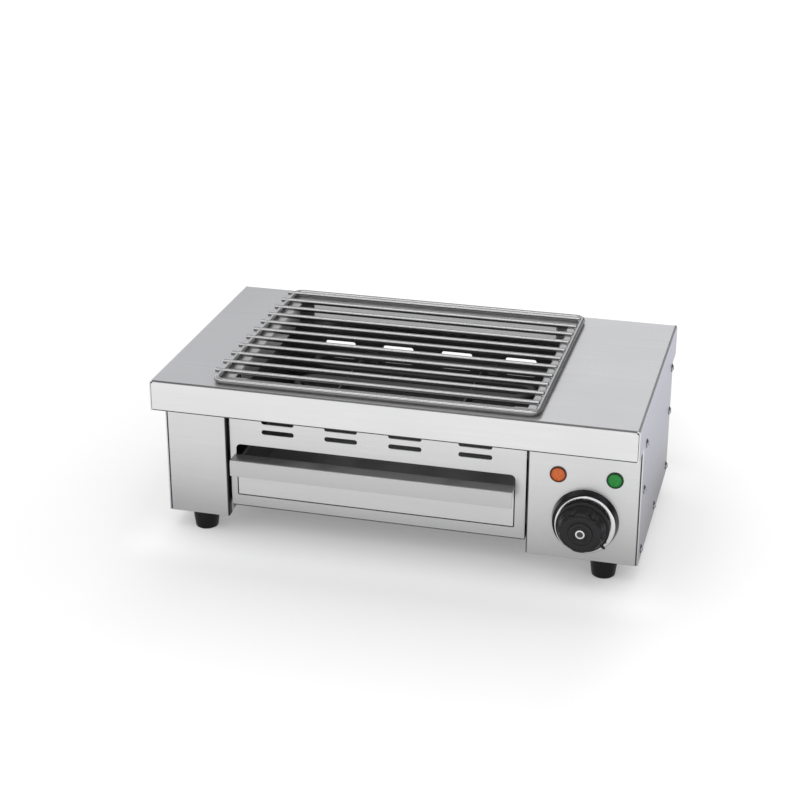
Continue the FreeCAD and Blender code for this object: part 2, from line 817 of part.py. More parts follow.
def lamp_body(x):
    """Barrel behind the panel with its blade terminals."""
    barrel = rod(lamp_barrel, (x, y_pier, z_lamp), (x, y_pier + lamp_length, z_lamp))
    end = y_pier + lamp_length
    half = tab_width / 2
    for side in (-1, 1):
        spot = x + side * lamp_barrel / 4
        blade = block((spot - tab_thickness / 2, spot + tab_thickness / 2),
                      (end, end + tab_length), (z_lamp - half, z_lamp + half))
        barrel = barrel.fuse(blade)
    return barrel.removeSplitter()


def lamp_nuts():
    """Nuts that clamp the lamps to the panel."""
    nuts = []
    y = y_pier + sheet
    for x in x_lamps:
        nut = hexagon(lamp_nut, (x, y, z_lamp), (0, 1, 0), lamp_nut_thickness)
        end = y + 2 * lamp_nut_thickness
        nuts.append(nut.cut(rod(lamp_barrel, (x, y - over, z_lamp), (x, end, z_lamp))))
    return group(nuts)


# ---- thermostat and knob --------------------------------------------------------------------
def knob_bezel():
    """Collar round the knob: a cone from the panel to a flat front ring."""
    base = bezel_diameter / 2
    front = bezel_front / 2
    inner = bezel_inner / 2
    profile = [(0, base), *round_corner(bezel_depth, front, bezel_edge), (bezel_depth, inner),
               (bezel_depth - bezel_wall, inner), (bezel_depth - bezel_wall, front - bezel_wall),
               (0, base - bezel_wall)]
    return turned(profile, (x_knob, y_pier, z_knob), (0, -1, 0))


def spin(shape, degrees):
    """Turned about the knob's axis, anticlockwise as seen from the front."""
    copy = shape.copy()
    copy.rotate(vec(x_knob, 0, z_knob), vec(0, -1, 0), degrees)
    return copy


def knob():
    """Hollow moulded grip on a thin skirt, with finger grips and a pointer."""
    half_base = knob_base / 2
    half_face = knob_face / 2
    length = skirt_thickness + knob_depth
    centre = (x_knob, y_skirt, z_knob)
    profile = [(0, 0), *round_corner(0, skirt_diameter / 2, skirt_edge, -1),
               *round_corner(skirt_thickness, skirt_diameter / 2, skirt_edge),
               (skirt_thickness, half_base + knob_foot), (skirt_thickness + knob_foot, half_base),
               *round_corner(length, half_face, knob_edge), (length, 0)]
    body = turned(profile, centre, (0, -1, 0))
    near = (x_knob + half_base + grip_radius - grip_foot_bite, y_skirt - grip_start, z_knob)
    far = (x_knob + half_face + grip_radius - grip_bite, y_knob_face + grip_end, z_knob)
    scoop = rod(2 * grip_radius, near, far)
    scoop = scoop.fuse(Part.makeSphere(grip_radius, vec(*far)))
    for grip in range(grip_count):
        body = body.cut(spin(scoop, grip_turn + 360.0 * grip / grip_count))
    hollow = half_face - grip_bite - knob_wall
    cavity = rod(2 * hollow, (x_knob, y_skirt + over, z_knob),
                 (x_knob, y_knob_face + cap_thickness + 2 * knob_wall, z_knob))
    hub = rod(hub_diameter, (x_knob, y_skirt, z_knob), (x_knob, y_knob_face + knob_wall, z_knob))
    body = body.cut(cavity).fuse(hub).cut(knob_shaft_space(shaft_bore_gap))
    recess = cap_thickness - cap_proud
    body = body.cut(rod(cap_diameter, (x_knob, y_knob_face - over, z_knob),
                        (x_knob, y_knob_face + recess, z_knob)))
    reach = x_knob + skirt_diameter / 2 + pointer_length
    root = x_knob + skirt_diameter / 2 - pointer_length
    half = pointer_width / 2
    shoulder = pointer_shoulder / 2
    low = y_skirt - pointer_front
    tip = [vec(root, low, z_knob - half), vec(root, low, z_knob + half),
           vec(reach - half, low, z_knob + shoulder), vec(reach, low, z_knob),
           vec(reach - half, low, z_knob - shoulder)]
    face = Part.Face(Part.makePolygon(tip + tip[:1]))
    wedge = face.extrude(vec(0, pointer_front - pointer_back, 0))
    return body.fuse(spin(wedge, pointer_turn)).removeSplitter()


def knob_shaft_space(gap):
    """The D-shaped end of the shaft, grown by a gap."""
    start = y_knob_face + cap_thickness + 2 * knob_wall
    stem = rod(shaft_diameter + 2 * gap, (x_knob, start - gap, z_knob), (x_knob, y_skirt + over, z_knob))
    flat = z_knob - shaft_diameter / 2 + shaft_flat + gap
    half = shaft_diameter
    return stem.cut(block((x_knob - half, x_knob + half), (start - over, y_skirt + 2 * over),
                          (flat, flat + half)))


def knob_cap():
    """Plain round cap let into the knob's face, with a ring round its middle."""
    low = y_knob_face + cap_thickness - cap_proud
    top = cap_thickness
    ring = cap_ring / 2
    half = groove_width / 2
    profile = [(0, 0), (0, cap_diameter / 2), *round_corner(top, cap_diameter / 2, cap_proud),
               (top, ring + half), (top - groove_depth, ring), (top, ring - half), (top, 0)]
    return turned(profile, (x_knob, low, z_knob), (0, -1, 0))


def cap_button():
    """Small plain metal button with a raised rim, in the middle of the cap."""
    radius = button_diameter / 2
    inner = radius - button_rim
    dish = button_height - button_edge
    profile = [(0, 0), (0, radius), *round_corner(button_height, radius, button_edge),
               (button_height, inner), (dish, inner - button_edge), (dish, 0)]
    return turned(profile, (x_knob, y_knob_face - cap_proud, z_knob), (0, -1, 0))


def thermostat_shaft():
    """Shaft with a flat, from inside the thermostat to inside the knob's hub."""
    inner = y_pier + sheet + thermostat_plate + bush_length
    round_part = rod(shaft_diameter, (x_knob, y_skirt + over, z_knob), (x_knob, inner, z_knob))
    return round_part.fuse(knob_shaft_space(0)).removeSplitter()


def thermostat():
    """Capillary thermostat: plate against the panel, bush, body and blade terminals."""
    front = y_pier + sheet
    half_x = thermostat_width / 2
    half_z = thermostat_height / 2
    half_plate = thermostat_plate_height / 2
    half_body = thermostat_body / 2
    plate = block((x_knob - half_x, x_knob + half_x), (front, front + thermostat_plate),
                  (z_knob - half_plate, z_knob + half_plate))
    back = front + thermostat_plate + thermostat_depth
    body = rounded((x_knob - half_body, x_knob + half_body), (front + thermostat_plate, back),
                   (z_knob - half_z, z_knob + half_z), thermostat_corner)
    body = body.fuse(plate)
    body = body.fuse(rod(thermostat_bush, (x_knob, y_pier - bush_thickness, z_knob),
                         (x_knob, front + thermostat_plate, z_knob)))
    bore = shaft_diameter + 2 * shaft_bore_gap
    inner = front + thermostat_plate + bush_length + seat_gap
    body = body.cut(rod(bore, (x_knob, y_pier - 2 * bush_thickness, z_knob), (x_knob, inner, z_knob)))
    for side in (-1, 1):
        x = x_knob + side * half_x / 2
        blade = block((x - tab_width / 2, x + tab_width / 2), (back, back + tab_length),
                      (z_knob - half_z / 2, z_knob - half_z / 2 + tab_thickness))
        body = body.fuse(blade)
    for side in (-0.5, 0.5):
        x = x_knob + side * mount_pitch
        end = front + screw_length
        hole = screw_shank + 2 * screw_gap
        body = body.cut(rod(hole, (x, front - over, z_knob), (x, end, z_knob)))
    return body.removeSplitter()


def truss_screw(seat, axis, length=screw_length):
    """Low domed head with a cross recess and a plain shank."""
    head = screw_head / 2
    ball = (head ** 2 + screw_head_height ** 2) / (2 * screw_head_height)
    direction = vec(*axis)
    at = vec(*seat)
    dome = Part.makeSphere(ball, at + direction * (screw_head_height - ball))
    keep = Part.makeCylinder(ball, 2 * ball, at, direction)
    dome = dome.common(keep)
    shank = Part.makeCylinder(screw_shank / 2, length, at, direction * -1)
    screw = dome.fuse(shank)
    across = vec(0, 0, 1) if abs(direction.z) < 0.5 else vec(1, 0, 0)
    other = direction.cross(across)
    for run, thick in ((across, other), (other, across)):
        corner = (at + direction * (screw_head_height - recess_depth)
                  - run * (recess_length / 2) - thick * (recess_width / 2))
        face = Part.Face(Part.makePolygon([corner, corner + run * recess_length,
                                           corner + run * recess_length + thick * recess_width,
                                           corner + thick * recess_width, corner]))
        screw = screw.cut(face.extrude(direction * (2 * recess_depth)))
    return screw.removeSplitter()


def thermostat_screws():
    """Screws through the panel into the thermostat, under the bezel."""
    length = screw_length - sheet
    return group([truss_screw((x_knob + side * mount_pitch, y_pier, z_knob), (0, -1, 0), length)
                  for side in (-0.5, 0.5)])


def capillary_entry():
    """(y, z) where the capillary passes through the divider."""
    return (y_bulb - 3 * capillary_bend, z_top - bulb_drop)


def thermostat_capillary():
    """Thin tube from the thermostat through the divider to the bulb."""
    y, z = capillary_entry()
    back = y_pier + sheet + thermostat_plate + thermostat_depth
    start_z = z_knob + thermostat_height / 4
    bulb_x = x_control - bulb_inset
    points = [(x_knob, back, start_z), (x_knob, back + capillary_reach, start_z),
              (x_knob, back + capillary_reach, z), (x_knob - capillary_reach, y, z),
              (bulb_x, y, z), (bulb_x, y_bulb, z)]
    return bent_rod(points, capillary, capillary_bend)


def thermostat_bulb():
    """Sensing bulb lying beside the divider."""
    x = x_control - bulb_inset
    z = z_top - bulb_drop
    return rod(bulb_diameter, (x, y_bulb, z), (x, y_bulb + bulb_length, z))


def bulb_clips():
    """Two straps that hold the bulb to the divider."""
    x = x_control - bulb_inset
    z = z_top - bulb_drop
    outer = bulb_diameter + 2 * sheet
    clips = []
    for middle in (bulb_length / 4, 3 * bulb_length / 4):
        y = (y_bulb + middle - clip_width / 2, y_bulb + middle + clip_width / 2)
        strap = rod(outer, (x, y[0], z), (x, y[1], z))
        arm = block((x, x_control + sheet), y, (z - sheet / 2, z + sheet / 2))
        tab = block((x_control, x_control + sheet), y, (z, z + outer))
        clip = strap.fuse(arm).fuse(tab)
        space = rod(bulb_diameter, (x, y[0] - over, z), (x, y[1] + over, z))
        clips.append(clip.cut(space).removeSplitter())
    return group(clips)


# ---- mains entry ----------------------------------------------------------------------------
def cable_gland():
    """Hexagon body, domed cap and threaded stem with a clear bore for a cord."""
    x = x_gland
    z = z_top - gland_drop
    body = hexagon(gland_flats, (x, y_back, z), (0, 1, 0), gland_hex)
    end = gland_hex + gland_dome
    dome = [(gland_hex, 0), (gland_hex, gland_cap / 2), (gland_hex + gland_shoulder, gland_cap / 2),
            (end, gland_nose / 2), (end, 0)]
    body = body.fuse(turned(dome, (x, y_back, z), (0, 1, 0)))
    body = body.fuse(rod(gland_thread, (x, y_back - gland_inside, z), (x, y_back, z)))
    return body.cut(rod(gland_bore, (x, y_back - 2 * gland_inside, z),
                        (x, y_back + 2 * gland_dome + gland_hex, z))).removeSplitter()


def gland_lock_nut():
    """Nut on the gland's stem inside the rear panel."""
    x = x_gland
    z = z_top - gland_drop
    y = y_back - sheet - gland_nut
    nut = hexagon(gland_flats, (x, y, z), (0, 1, 0), gland_nut)
    return nut.cut(rod(gland_thread, (x, y - over, z), (x, y + 2 * gland_nut, z)))


def terminal_block():
    """Three-way block on the base, inside the cable entry."""
    x = x_gland
    y = y_back - terminal_from_rear
    base = z_under + sheet
    body = block((x - terminal_length / 2, x + terminal_length / 2),
                 (y - terminal_width / 2, y + terminal_width / 2), (base, base + terminal_height))
    middle = base + terminal_height / 2
    top = base + terminal_height
    for way in range(terminal_ways):
        spot = x + terminal_length * ((way + 0.5) / terminal_ways - 0.5)
        body = body.cut(rod(terminal_bore, (spot, y - terminal_width, middle),
                            (spot, y + terminal_width, middle)))
        body = body.cut(rod(terminal_well, (spot, y, top - terminal_well_depth),
                            (spot, y, top + over)))
    return body


# ---- feet -----------------------------------------------------------------------------------
def foot_places():
    """(x, y) of the four feet."""
    return [(x, y) for x in (x_left + foot_inset_x, x_right - foot_inset_x)
            for y in (y_pier + foot_inset_y, y_back - foot_inset_y)]


def foot(x, y):
    """Tapered rubber foot with a recess for its screw."""
    low = foot_bottom / 2
    top = foot_top / 2
    web = foot_height - foot_web
    profile = [(0, foot_recess / 2), *round_corner(0, low, foot_round, -1),
               *round_corner(foot_height, top, foot_round / 2),
               (foot_height, foot_screw / 2 + screw_gap), (web, foot_screw / 2 + screw_gap),
               (web, foot_recess / 2)]
    return turned(profile, (x, y, 0), (0, 0, 1))


def foot_screws():
    """Pan-head screws up through the feet."""
    screws = []
    web = foot_height - foot_web
    end = z_under + sheet + foot_nut_height + over
    for x, y in foot_places():
        head = rod(foot_head, (x, y, web - foot_head_height), (x, y, web))
        stem = rod(foot_screw, (x, y, web), (x, y, end))
        screws.append(head.fuse(stem).removeSplitter())
    return group(screws)


def foot_nuts():
    """Nuts on the base plates above the feet."""
    nuts = []
    low = z_under + sheet
    for x, y in foot_places():
        nut = hexagon(foot_nut_flats, (x, y, low), (0, 0, 1), foot_nut_height)
        end = low + 2 * foot_nut_height
        nuts.append(nut.cut(rod(foot_screw, (x, y, low - over), (x, y, end))))
    return group(nuts)


def side_screws(side):
    """All the screws in one side face."""
    return group([truss_screw((side * body_width / 2, y, z), (side, 0, 0))
                  for y, z in side_screw_places()])


# ---- assembly -------------------------------------------------------------------------------
def nodes():
    """Every sub-part by name."""
    parts = {
        "outer_cover": outer_cover(),
        "front_soffit": soffit(y_front + edge_radius, y_panel + sheet),
        "rear_soffit": soffit(y_back - sheet, y_rear - edge_radius),
        "pier_front": pier_front(),
        "pier_wall": pier_wall(),
        "pier_base": pier_base(),
        "control_panel": control_panel(),
        "divider_wall": divider_wall(),
        "control_base": control_base(),
        "centre_panel": centre_panel(),
        "chamber_floor": chamber_floor(),
        "rear_panel": rear_panel(),
        "grill_grate": grate(),
        "heating_element": heating_element(),
        "heater_bushes": heater_bushes(),
        "heater_nuts": heater_nuts(),
        "heater_insulators": heater_insulators(),
        "heater_pins": heater_pins(),
        "left_support_comb": support_comb(x_pier + comb_left),
        "right_support_comb": support_comb(x_control - comb_right),
        "drawer_front": drawer_front(),
        "drawer_tray": drawer_tray(),
        "left_runner": runner(-1),
        "right_runner": runner(1),
        "orange_lamp_lens": lamp_lens(x_lamps[0]),
        "orange_lamp_body": lamp_body(x_lamps[0]),
        "green_lamp_lens": lamp_lens(x_lamps[1]),
        "green_lamp_body": lamp_body(x_lamps[1]),
        "lamp_nuts": lamp_nuts(),
        "knob_bezel": knob_bezel(),
        "knob": knob(),
        "knob_cap": knob_cap(),
        "cap_button": cap_button(),
        "thermostat": thermostat(),
        "thermostat_shaft": thermostat_shaft(),
        "thermostat_screws": thermostat_screws(),
        "thermostat_capillary": thermostat_capillary(),
        "thermostat_bulb": thermostat_bulb(),
        "bulb_clips": bulb_clips(),
        "cable_gland": cable_gland(),
        "gland_lock_nut": gland_lock_nut(),
        "terminal_block": terminal_block(),
        "foot_screws": foot_screws(),
        "foot_nuts": foot_nuts(),
        "left_side_screws": side_screws(-1),
        "right_side_screws": side_screws(1),
    }
    names = ("front_left_foot", "rear_left_foot", "front_right_foot", "rear_right_foot")
    for name, place in zip(names, foot_places()):
        parts[name] = foot(*place)
    return parts


os.makedirs("parts", exist_ok=True)
for node, shape in nodes().items():
    shape.exportStep("parts/" + node + ".step")
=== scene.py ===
"""Electric fish roaster: looks for its sheet metal, grate, heater, knob, lamps and feet."""

import math

import bmesh
import bpy
from bpy.props import FloatProperty, FloatVectorProperty, IntProperty, PointerProperty
from bpy.types import NodeSocket, Operator, Panel, PropertyGroup
from mathutils import Euler, Matrix, Vector


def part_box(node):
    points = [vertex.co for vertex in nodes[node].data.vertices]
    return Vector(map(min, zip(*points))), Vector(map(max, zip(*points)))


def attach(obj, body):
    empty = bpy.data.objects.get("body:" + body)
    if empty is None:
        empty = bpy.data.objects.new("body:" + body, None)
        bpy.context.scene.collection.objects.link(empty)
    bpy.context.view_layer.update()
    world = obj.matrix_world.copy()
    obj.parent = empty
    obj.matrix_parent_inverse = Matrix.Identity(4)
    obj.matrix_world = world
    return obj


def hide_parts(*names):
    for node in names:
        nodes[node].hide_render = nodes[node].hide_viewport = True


bl_info = {
    "name": "Electric Fish Roaster",
    "version": (1, 0, 0),
    "blender": (4, 5, 0),
    "location": "View3D > Sidebar > Roaster",
    "description": "Dresses the roaster with brushed steel, bright wire, knob, lamps and feet",
    "category": "Object",
}

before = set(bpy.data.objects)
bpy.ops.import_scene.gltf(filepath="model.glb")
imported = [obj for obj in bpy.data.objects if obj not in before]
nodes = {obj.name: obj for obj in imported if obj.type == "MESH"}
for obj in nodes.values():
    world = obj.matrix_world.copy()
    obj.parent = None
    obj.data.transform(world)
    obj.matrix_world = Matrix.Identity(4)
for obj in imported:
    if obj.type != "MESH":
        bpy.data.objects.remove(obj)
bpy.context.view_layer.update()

FOLDED = ("outer_cover", "pier_front", "control_panel", "centre_panel", "rear_panel",
          "front_soffit", "rear_soffit", "pier_base", "control_base")
DRAWER = (("drawer_front", "drawer"), ("drawer_tray", "tray"))
CHAMBER = ("pier_wall", "divider_wall", "chamber_floor", "left_support_comb",
           "right_support_comb", "left_runner", "right_runner", "bulb_clips")
FEET = ("front_left_foot", "rear_left_foot", "front_right_foot", "rear_right_foot")


# ---- sizes and colours -------------------------------------------------------------------

def node_size(name):
    low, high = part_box(name)
    return high - low


def node_middle(name):
    low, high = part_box(name)
    return (low + high) / 2


def turned_node(name, axis=None):
    """Radius, height and seat (middle of the rear face) of a node turned about Y."""
    low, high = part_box(name)
    axis = axis or (low + high) / 2
    return (high.x - low.x) / 2, high.y - low.y, Vector((axis.x, high.y, axis.z))


MERGE = 1e-6            # points nearer than this are one
SIDEWAYS = 0.72         # a face that looks more along X than this is brushed along Y
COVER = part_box("outer_cover")
PIER_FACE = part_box("pier_front")[0].y
PANEL_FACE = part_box("centre_panel")[0].y
FLANGE_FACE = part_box("drawer_front")[0].y

# Slab of depth that holds the rear skirt of the cut-out, measured from the rear lip.
SKIRT_START, SKIRT_END = COVER[1].y - 0.0360, COVER[1].y - 0.0333
# The recess between the pier and the control box starts this far behind the pier's face,
# ends this far behind the panel's and reaches this far to each side.
RECESS_RISE, RECESS_END = (PIER_FACE + 0.0001, PIER_FACE + 0.0007), PANEL_FACE + 0.0035
RECESS_REACH = 0.2
# Between these depths the painted shade of the drawer's handle flange sets in.
FLANGE_FADE = (FLANGE_FACE + 0.0040, FLANGE_FACE + 0.0030)


def length(name, text, default):
    return FloatProperty(name=name, description=text, default=default, min=0.0,
                         unit="LENGTH", precision=5)


def colour(name, text, default):
    return FloatVectorProperty(name=name, description=text, default=default, size=3,
                               min=0.0, max=1.0, subtype="COLOR")


def share(name, text, default):
    return FloatProperty(name=name, description=text, default=default, min=0.0, max=1.0,
                         subtype="FACTOR")


class RoasterSizes(PropertyGroup):
    """Sizes of the pieces that are made here."""

    edge_round: length("Edge Rounding", "Broken edge of the cut sheet", 0.00022)
    frame_wire: length("Frame Wire", "Diameter of the grate's frame rod", 0.006)
    bar_wire: length("Bar Wire", "Diameter of the grate's bars", 0.005)
    grate_corner: length("Grate Corner", "Bend of the frame rod on its centre line", 0.008)
    bar_count: IntProperty(name="Bars", description="Number of bars in the grate", default=11,
                           min=2)
    bar_first: length("First Bar", "From the front of the grate to the first bar", 0.0254)
    bar_last: length("Last Bar", "From the last bar to the rear of the grate", 0.0121)
    bar_lift: length("Bar Lift", "Bars' centres above the frame rod's", 0.0015)
    bar_overhang: length("Bar Overhang", "Bars' left ends past the frame rod", 0.0041)
    bar_stop: length("Bar Stop", "Frame rod's centre to the bars' right ends", 0.0023)
    weld: length("Weld Bead", "Radius of the bead at each end of a bar", 0.0033)
    heater_tube: length("Heater Tube", "Diameter of the heating tube",
                        node_size("heating_element").z)
    heater_legs: IntProperty(name="Heater Legs", description="Straight runs of the tube",
                             default=6, min=2)
    heater_right: length("Heater Bends", "Right-hand bends to the dividing wall", 0.0262)
    knob_grips: IntProperty(name="Finger Grips", description="Scallops round the knob",
                            default=6, min=3)
    grip_radius: length("Grip Radius", "Radius of each scallop", 0.007)
    screw_head: length("Screw Head", "Diameter of the heads in the sides", 0.0094)
    screw_height: length("Screw Height", "Height of the heads in the sides", 0.0025)


class RoasterFinish(PropertyGroup):
    """Colours and surface of each finish."""

    steel: colour("Sheet Steel", "Brushed stainless sheet", (0.72, 0.72, 0.725))
    steel_rough: share("Sheet Roughness", "Roughness of the brushed sheet", 0.30)
    wire: colour("Bright Wire", "Plated wire of the grate", (0.60, 0.60, 0.60))
    chamber: colour("Chamber Steel", "Heat-stained sheet in the chamber", (0.32, 0.325, 0.32))
    sheath: colour("Heater Sheath", "Oxidised sheath of the heating tube", (0.10, 0.10, 0.10))
    knob: colour("Knob", "Moulded knob", (0.012, 0.012, 0.013))
    collar: colour("Collar", "Bright ring round the knob", (0.88, 0.88, 0.89))
    # The collar's dark side is a painted dark reflection.
    collar_side: colour("Collar Side", "Blackened side of the collar", (0.03, 0.03, 0.032))
    rubber: colour("Rubber", "Moulded feet", (0.004, 0.004, 0.004))
    orange: colour("Orange Lamp", "Lens of the left pilot lamp", (0.62, 0.13, 0.025))
    green: colour("Green Lamp", "Lens of the right pilot lamp", (0.012, 0.24, 0.035))
    floor: colour("Floor", "Pale studio floor", (0.74, 0.74, 0.74))


# ---- shader nodes ------------------------------------------------------------------------

def add(tree, kind, values=None, **settings):
    """New node; each value goes into an input, as a link where it is an output socket."""
    node = tree.nodes.new(kind)
    for name, value in settings.items():
        setattr(node, name, value)
    for key, value in (values or {}).items():
        if isinstance(value, NodeSocket):
            tree.links.new(value, node.inputs[key])
        else:
            node.inputs[key].default_value = value
    return node


def math_node(tree, operation, first, second=0.0, clamp=False):
    return add(tree, "ShaderNodeMath", {0: first, 1: second}, operation=operation,
               use_clamp=clamp).outputs[0]


def multiply(tree, *factors):
    """Product of sockets and numbers."""
    product = factors[0]
    for factor in factors[1:]:
        product = math_node(tree, "MULTIPLY", product, factor)
    return product


def plus(tree, first, second):
    return math_node(tree, "ADD", first, second)


def minus(tree, first, second):
    return math_node(tree, "SUBTRACT", first, second)


def absolute(tree, value):
    return math_node(tree, "ABSOLUTE", value)


def coordinate(tree, kind):
    return add(tree, "ShaderNodeTexCoord").outputs[kind]


def split(tree, vector):
    """X, Y and Z of a vector."""
    return add(tree, "ShaderNodeSeparateXYZ", {0: vector}).outputs


def facing(tree):
    """X, Y and Z of the way a face looks."""
    return split(tree, coordinate(tree, "Normal"))


def combine(tree, x=0.0, y=0.0, z=0.0):
    return add(tree, "ShaderNodeCombineXYZ", {"X": x, "Y": y, "Z": z}).outputs[0]


def span(tree, vector):
    """Length of a vector."""
    return add(tree, "ShaderNodeVectorMath", {0: vector}, operation="LENGTH").outputs["Value"]


def ramp(tree, factor, low, high):
    """Smooth step from 0 at low to 1 at high."""
    return add(tree, "ShaderNodeMapRange",
               {"Value": factor, "From Min": low, "From Max": high},
               interpolation_type="SMOOTHSTEP").outputs["Result"]


def graded(tree, factor, stops):
    """Colour read off a row of (position, colour) stops."""
    node = add(tree, "ShaderNodeValToRGB", {0: factor})
    row = node.color_ramp.elements
    for index, (position, shade) in enumerate(stops):
        stop = row[index] if index < len(row) else row.new(position)
        stop.position, stop.color = position, (*shade, 1.0)
    return node.outputs["Color"]


def blend(tree, factor, first, second):
    """Colour mixed from two colours by a mask."""
    mix = add(tree, "ShaderNodeMix", data_type="RGBA")
    for name, value in (("Factor", factor), ("A", first), ("B", second)):
        socket = next(s for s in mix.inputs if s.name == name and s.enabled
                      and (s.type == "RGBA" or name == "Factor"))
        if isinstance(value, NodeSocket):
            tree.links.new(value, socket)
        else:
            socket.default_value = value
    return next(s for s in mix.outputs if s.type == "RGBA")


def new_group(name, inputs, outputs):
    """Empty shader group, its inputs of (name, default) as sockets, and its exit node."""
    group = bpy.data.node_groups.new(name, "ShaderNodeTree")
    for label, default in inputs:
        group.interface.new_socket(label, in_out="INPUT",
                                   socket_type="NodeSocketFloat").default_value = default
    for label in outputs:
        group.interface.new_socket(label, in_out="OUTPUT", socket_type="NodeSocketFloat")
    given = group.nodes.new("NodeGroupInput").outputs
    return group, given, group.nodes.new("NodeGroupOutput")


def put_out(group, exit_node, **masks):
    """Links each mask to the output of its name and hands the group back."""
    for label, mask in masks.items():
        group.links.new(mask, exit_node.inputs[label])
    return group


def scaled(tree, vector, x, y, z):
    """Vector stretched by three numbers or sockets."""
    return add(tree, "ShaderNodeVectorMath", {0: vector, 1: combine(tree, x, y, z)},
               operation="MULTIPLY").outputs["Vector"]


def noise(tree, vector, scale=1.0, detail=2.0, roughness=0.5):
    return add(tree, "ShaderNodeTexNoise",
               {"Vector": vector, "Scale": scale, "Detail": detail, "Roughness": roughness}
               ).outputs["Fac"]


def brushed_group():
    """Brushing lines: along X on faces that front, back, rise or fall, along Y on the sides."""
    group, given, exit_node = new_group(
        "Brushed Lines", (("Run", 9.0), ("Fineness", 2600.0), ("Band", 260.0)),
        ("Lines", "Bands"))
    place = coordinate(group, "Object")
    sideways = math_node(group, "GREATER_THAN", absolute(group, facing(group)["X"]), SIDEWAYS)
    found = []
    for fine in ("Fineness", "Band"):
        run, across = given["Run"], given[fine]
        lengthways = noise(group, scaled(group, place, run, across, across))
        crossways = noise(group, scaled(group, place, across, run, across))
        found.append(add(group, "ShaderNodeMix",
                         {"Factor": sideways, "A": lengthways, "B": crossways},
                         data_type="FLOAT").outputs[0])
    return put_out(group, exit_node, Lines=found[0], Bands=found[1])


def clouding_group():
    """Soft patches, as handling and cleaning leave them."""
    group, given, exit_node = new_group("Clouding", (("Size", 14.0), ("Contrast", 1.0)),
                                        ("Patches",))
    patches = noise(group, coordinate(group, "Object"), given["Size"], 3.0, 0.55)
    spread = multiply(group, minus(group, patches, 0.5), given["Contrast"])
    return put_out(group, exit_node, Patches=math_node(group, "ADD", spread, 0.5, True))


def grain_group():
    """Fine even grain, as a spark-eroded mould leaves on plastic and rubber."""
    group, given, exit_node = new_group("Moulded Grain", (("Fineness", 2200.0),), ("Grain",))
    place, fineness = coordinate(group, "Object"), given["Fineness"]
    cells = add(group, "ShaderNodeTexVoronoi",
                {"Vector": place, "Scale": fineness}).outputs["Distance"]
    fine = noise(group, place, fineness, 2.0, 0.6)
    total = plus(group, multiply(group, cells, 0.5), multiply(group, fine, 0.5))
    return put_out(group, exit_node, Grain=total)


def heat_group():
    """Mask of heat staining, strongest in the middle of the chamber."""
    group, given, exit_node = new_group("Heat Stain", (("Reach", 0.16),), ("Stain",))
    place = coordinate(group, "Object")
    shifted = add(group, "ShaderNodeMapping",
                  {"Vector": place, "Location": (0.02, 0.0, -0.12)}).outputs[0]
    near = math_node(group, "DIVIDE", span(group, shifted), given["Reach"])
    ragged = multiply(group, noise(group, place, 22.0, 3.0), 0.6)
    mask = math_node(group, "SUBTRACT", plus(group, 1.0, ragged), near, True)
    return put_out(group, exit_node, Stain=mask)


def fold_group():
    """Masks of folded sheet for painted shade and light: bends, undersides with recess walls,
    faces turned forward, and the rear skirt.
    """
    group, given, exit_node = new_group(
        "Sheet Folds", (("Skirt Start", SKIRT_START), ("Skirt End", SKIRT_END),
                        ("Recess Reach", RECESS_REACH)),
        ("Bends", "Undersides", "Lining", "Skirt"))
    look, spot = facing(group), split(group, coordinate(group, "Object"))
    depth, turned = spot["Y"], absolute(group, look["Y"])
    bends = multiply(group, ramp(group, turned, 0.25, 0.50), ramp(group, turned, 0.995, 0.90))
    below = multiply(group, ramp(group, look["Z"], -0.05, -0.35),
                     ramp(group, turned, 0.05, 0.2))
    frontal = ramp(group, look["Y"], -0.3, -0.6)
    skirt = multiply(group, math_node(group, "GREATER_THAN", depth, given["Skirt Start"]),
                     math_node(group, "LESS_THAN", depth, given["Skirt End"]), frontal)
    recess = multiply(group, ramp(group, depth, *RECESS_RISE),
                      math_node(group, "LESS_THAN", depth, RECESS_END),
                      math_node(group, "LESS_THAN", absolute(group, spot["X"]),
                                given["Recess Reach"]),
                      ramp(group, absolute(group, look["X"]), 0.3, 0.7))
    return put_out(group, exit_node, Bends=bends, Skirt=skirt, Lining=frontal,
                   Undersides=math_node(group, "MAXIMUM", below, recess))


def rim_group():
    """Mask of a turned piece outside a share of its full radius."""
    group, given, exit_node = new_group("Turned Rim", (("Start", 0.6), ("End", 0.7)),
                                        ("Rim",))
    share_of = add(group, "ShaderNodeAttribute", attribute_name="span").outputs["Fac"]
    return put_out(group, exit_node,
                   Rim=ramp(group, share_of, given["Start"], given["End"]))


GROUPS = {}


def effect(tree, name, **inputs):
    """Outputs of one of the shared effects, placed with its own values."""
    makers = {"Brushed Lines": brushed_group, "Clouding": clouding_group,
              "Moulded Grain": grain_group, "Heat Stain": heat_group,
              "Sheet Folds": fold_group, "Turned Rim": rim_group}
    if name not in GROUPS:
        GROUPS[name] = makers[name]()
    node = tree.nodes.new("ShaderNodeGroup")
    node.node_tree = GROUPS[name]
    for key, value in inputs.items():
        node.inputs[key].default_value = value
    return node.outputs


def clouded(tree, size, contrast=1.8):
    return effect(tree, "Clouding", Size=size, Contrast=contrast)["Patches"]


def new_material(name, **constants):
    """Material with one Principled shader and its constant inputs set."""
    material = bpy.data.materials.new(name)
    material.use_nodes = True
    tree = material.node_tree
    shader = tree.nodes["Principled BSDF"]
    for key, value in constants.items():
        shader.inputs[key.replace("_", " ")].default_value = value
    return material, tree, shader


def feed(tree, shader, **sockets):
    for key, value in sockets.items():
        tree.links.new(value, shader.inputs[key.replace("_", " ")])


def roughened(tree, base, *variations):
    """Roughness from a base number and (mask, amount) pairs, each mask centred on its half."""
    total = base
    for mask, amount in variations:
        total = plus(tree, multiply(tree, minus(tree, mask, 0.5), amount), total)
    return total


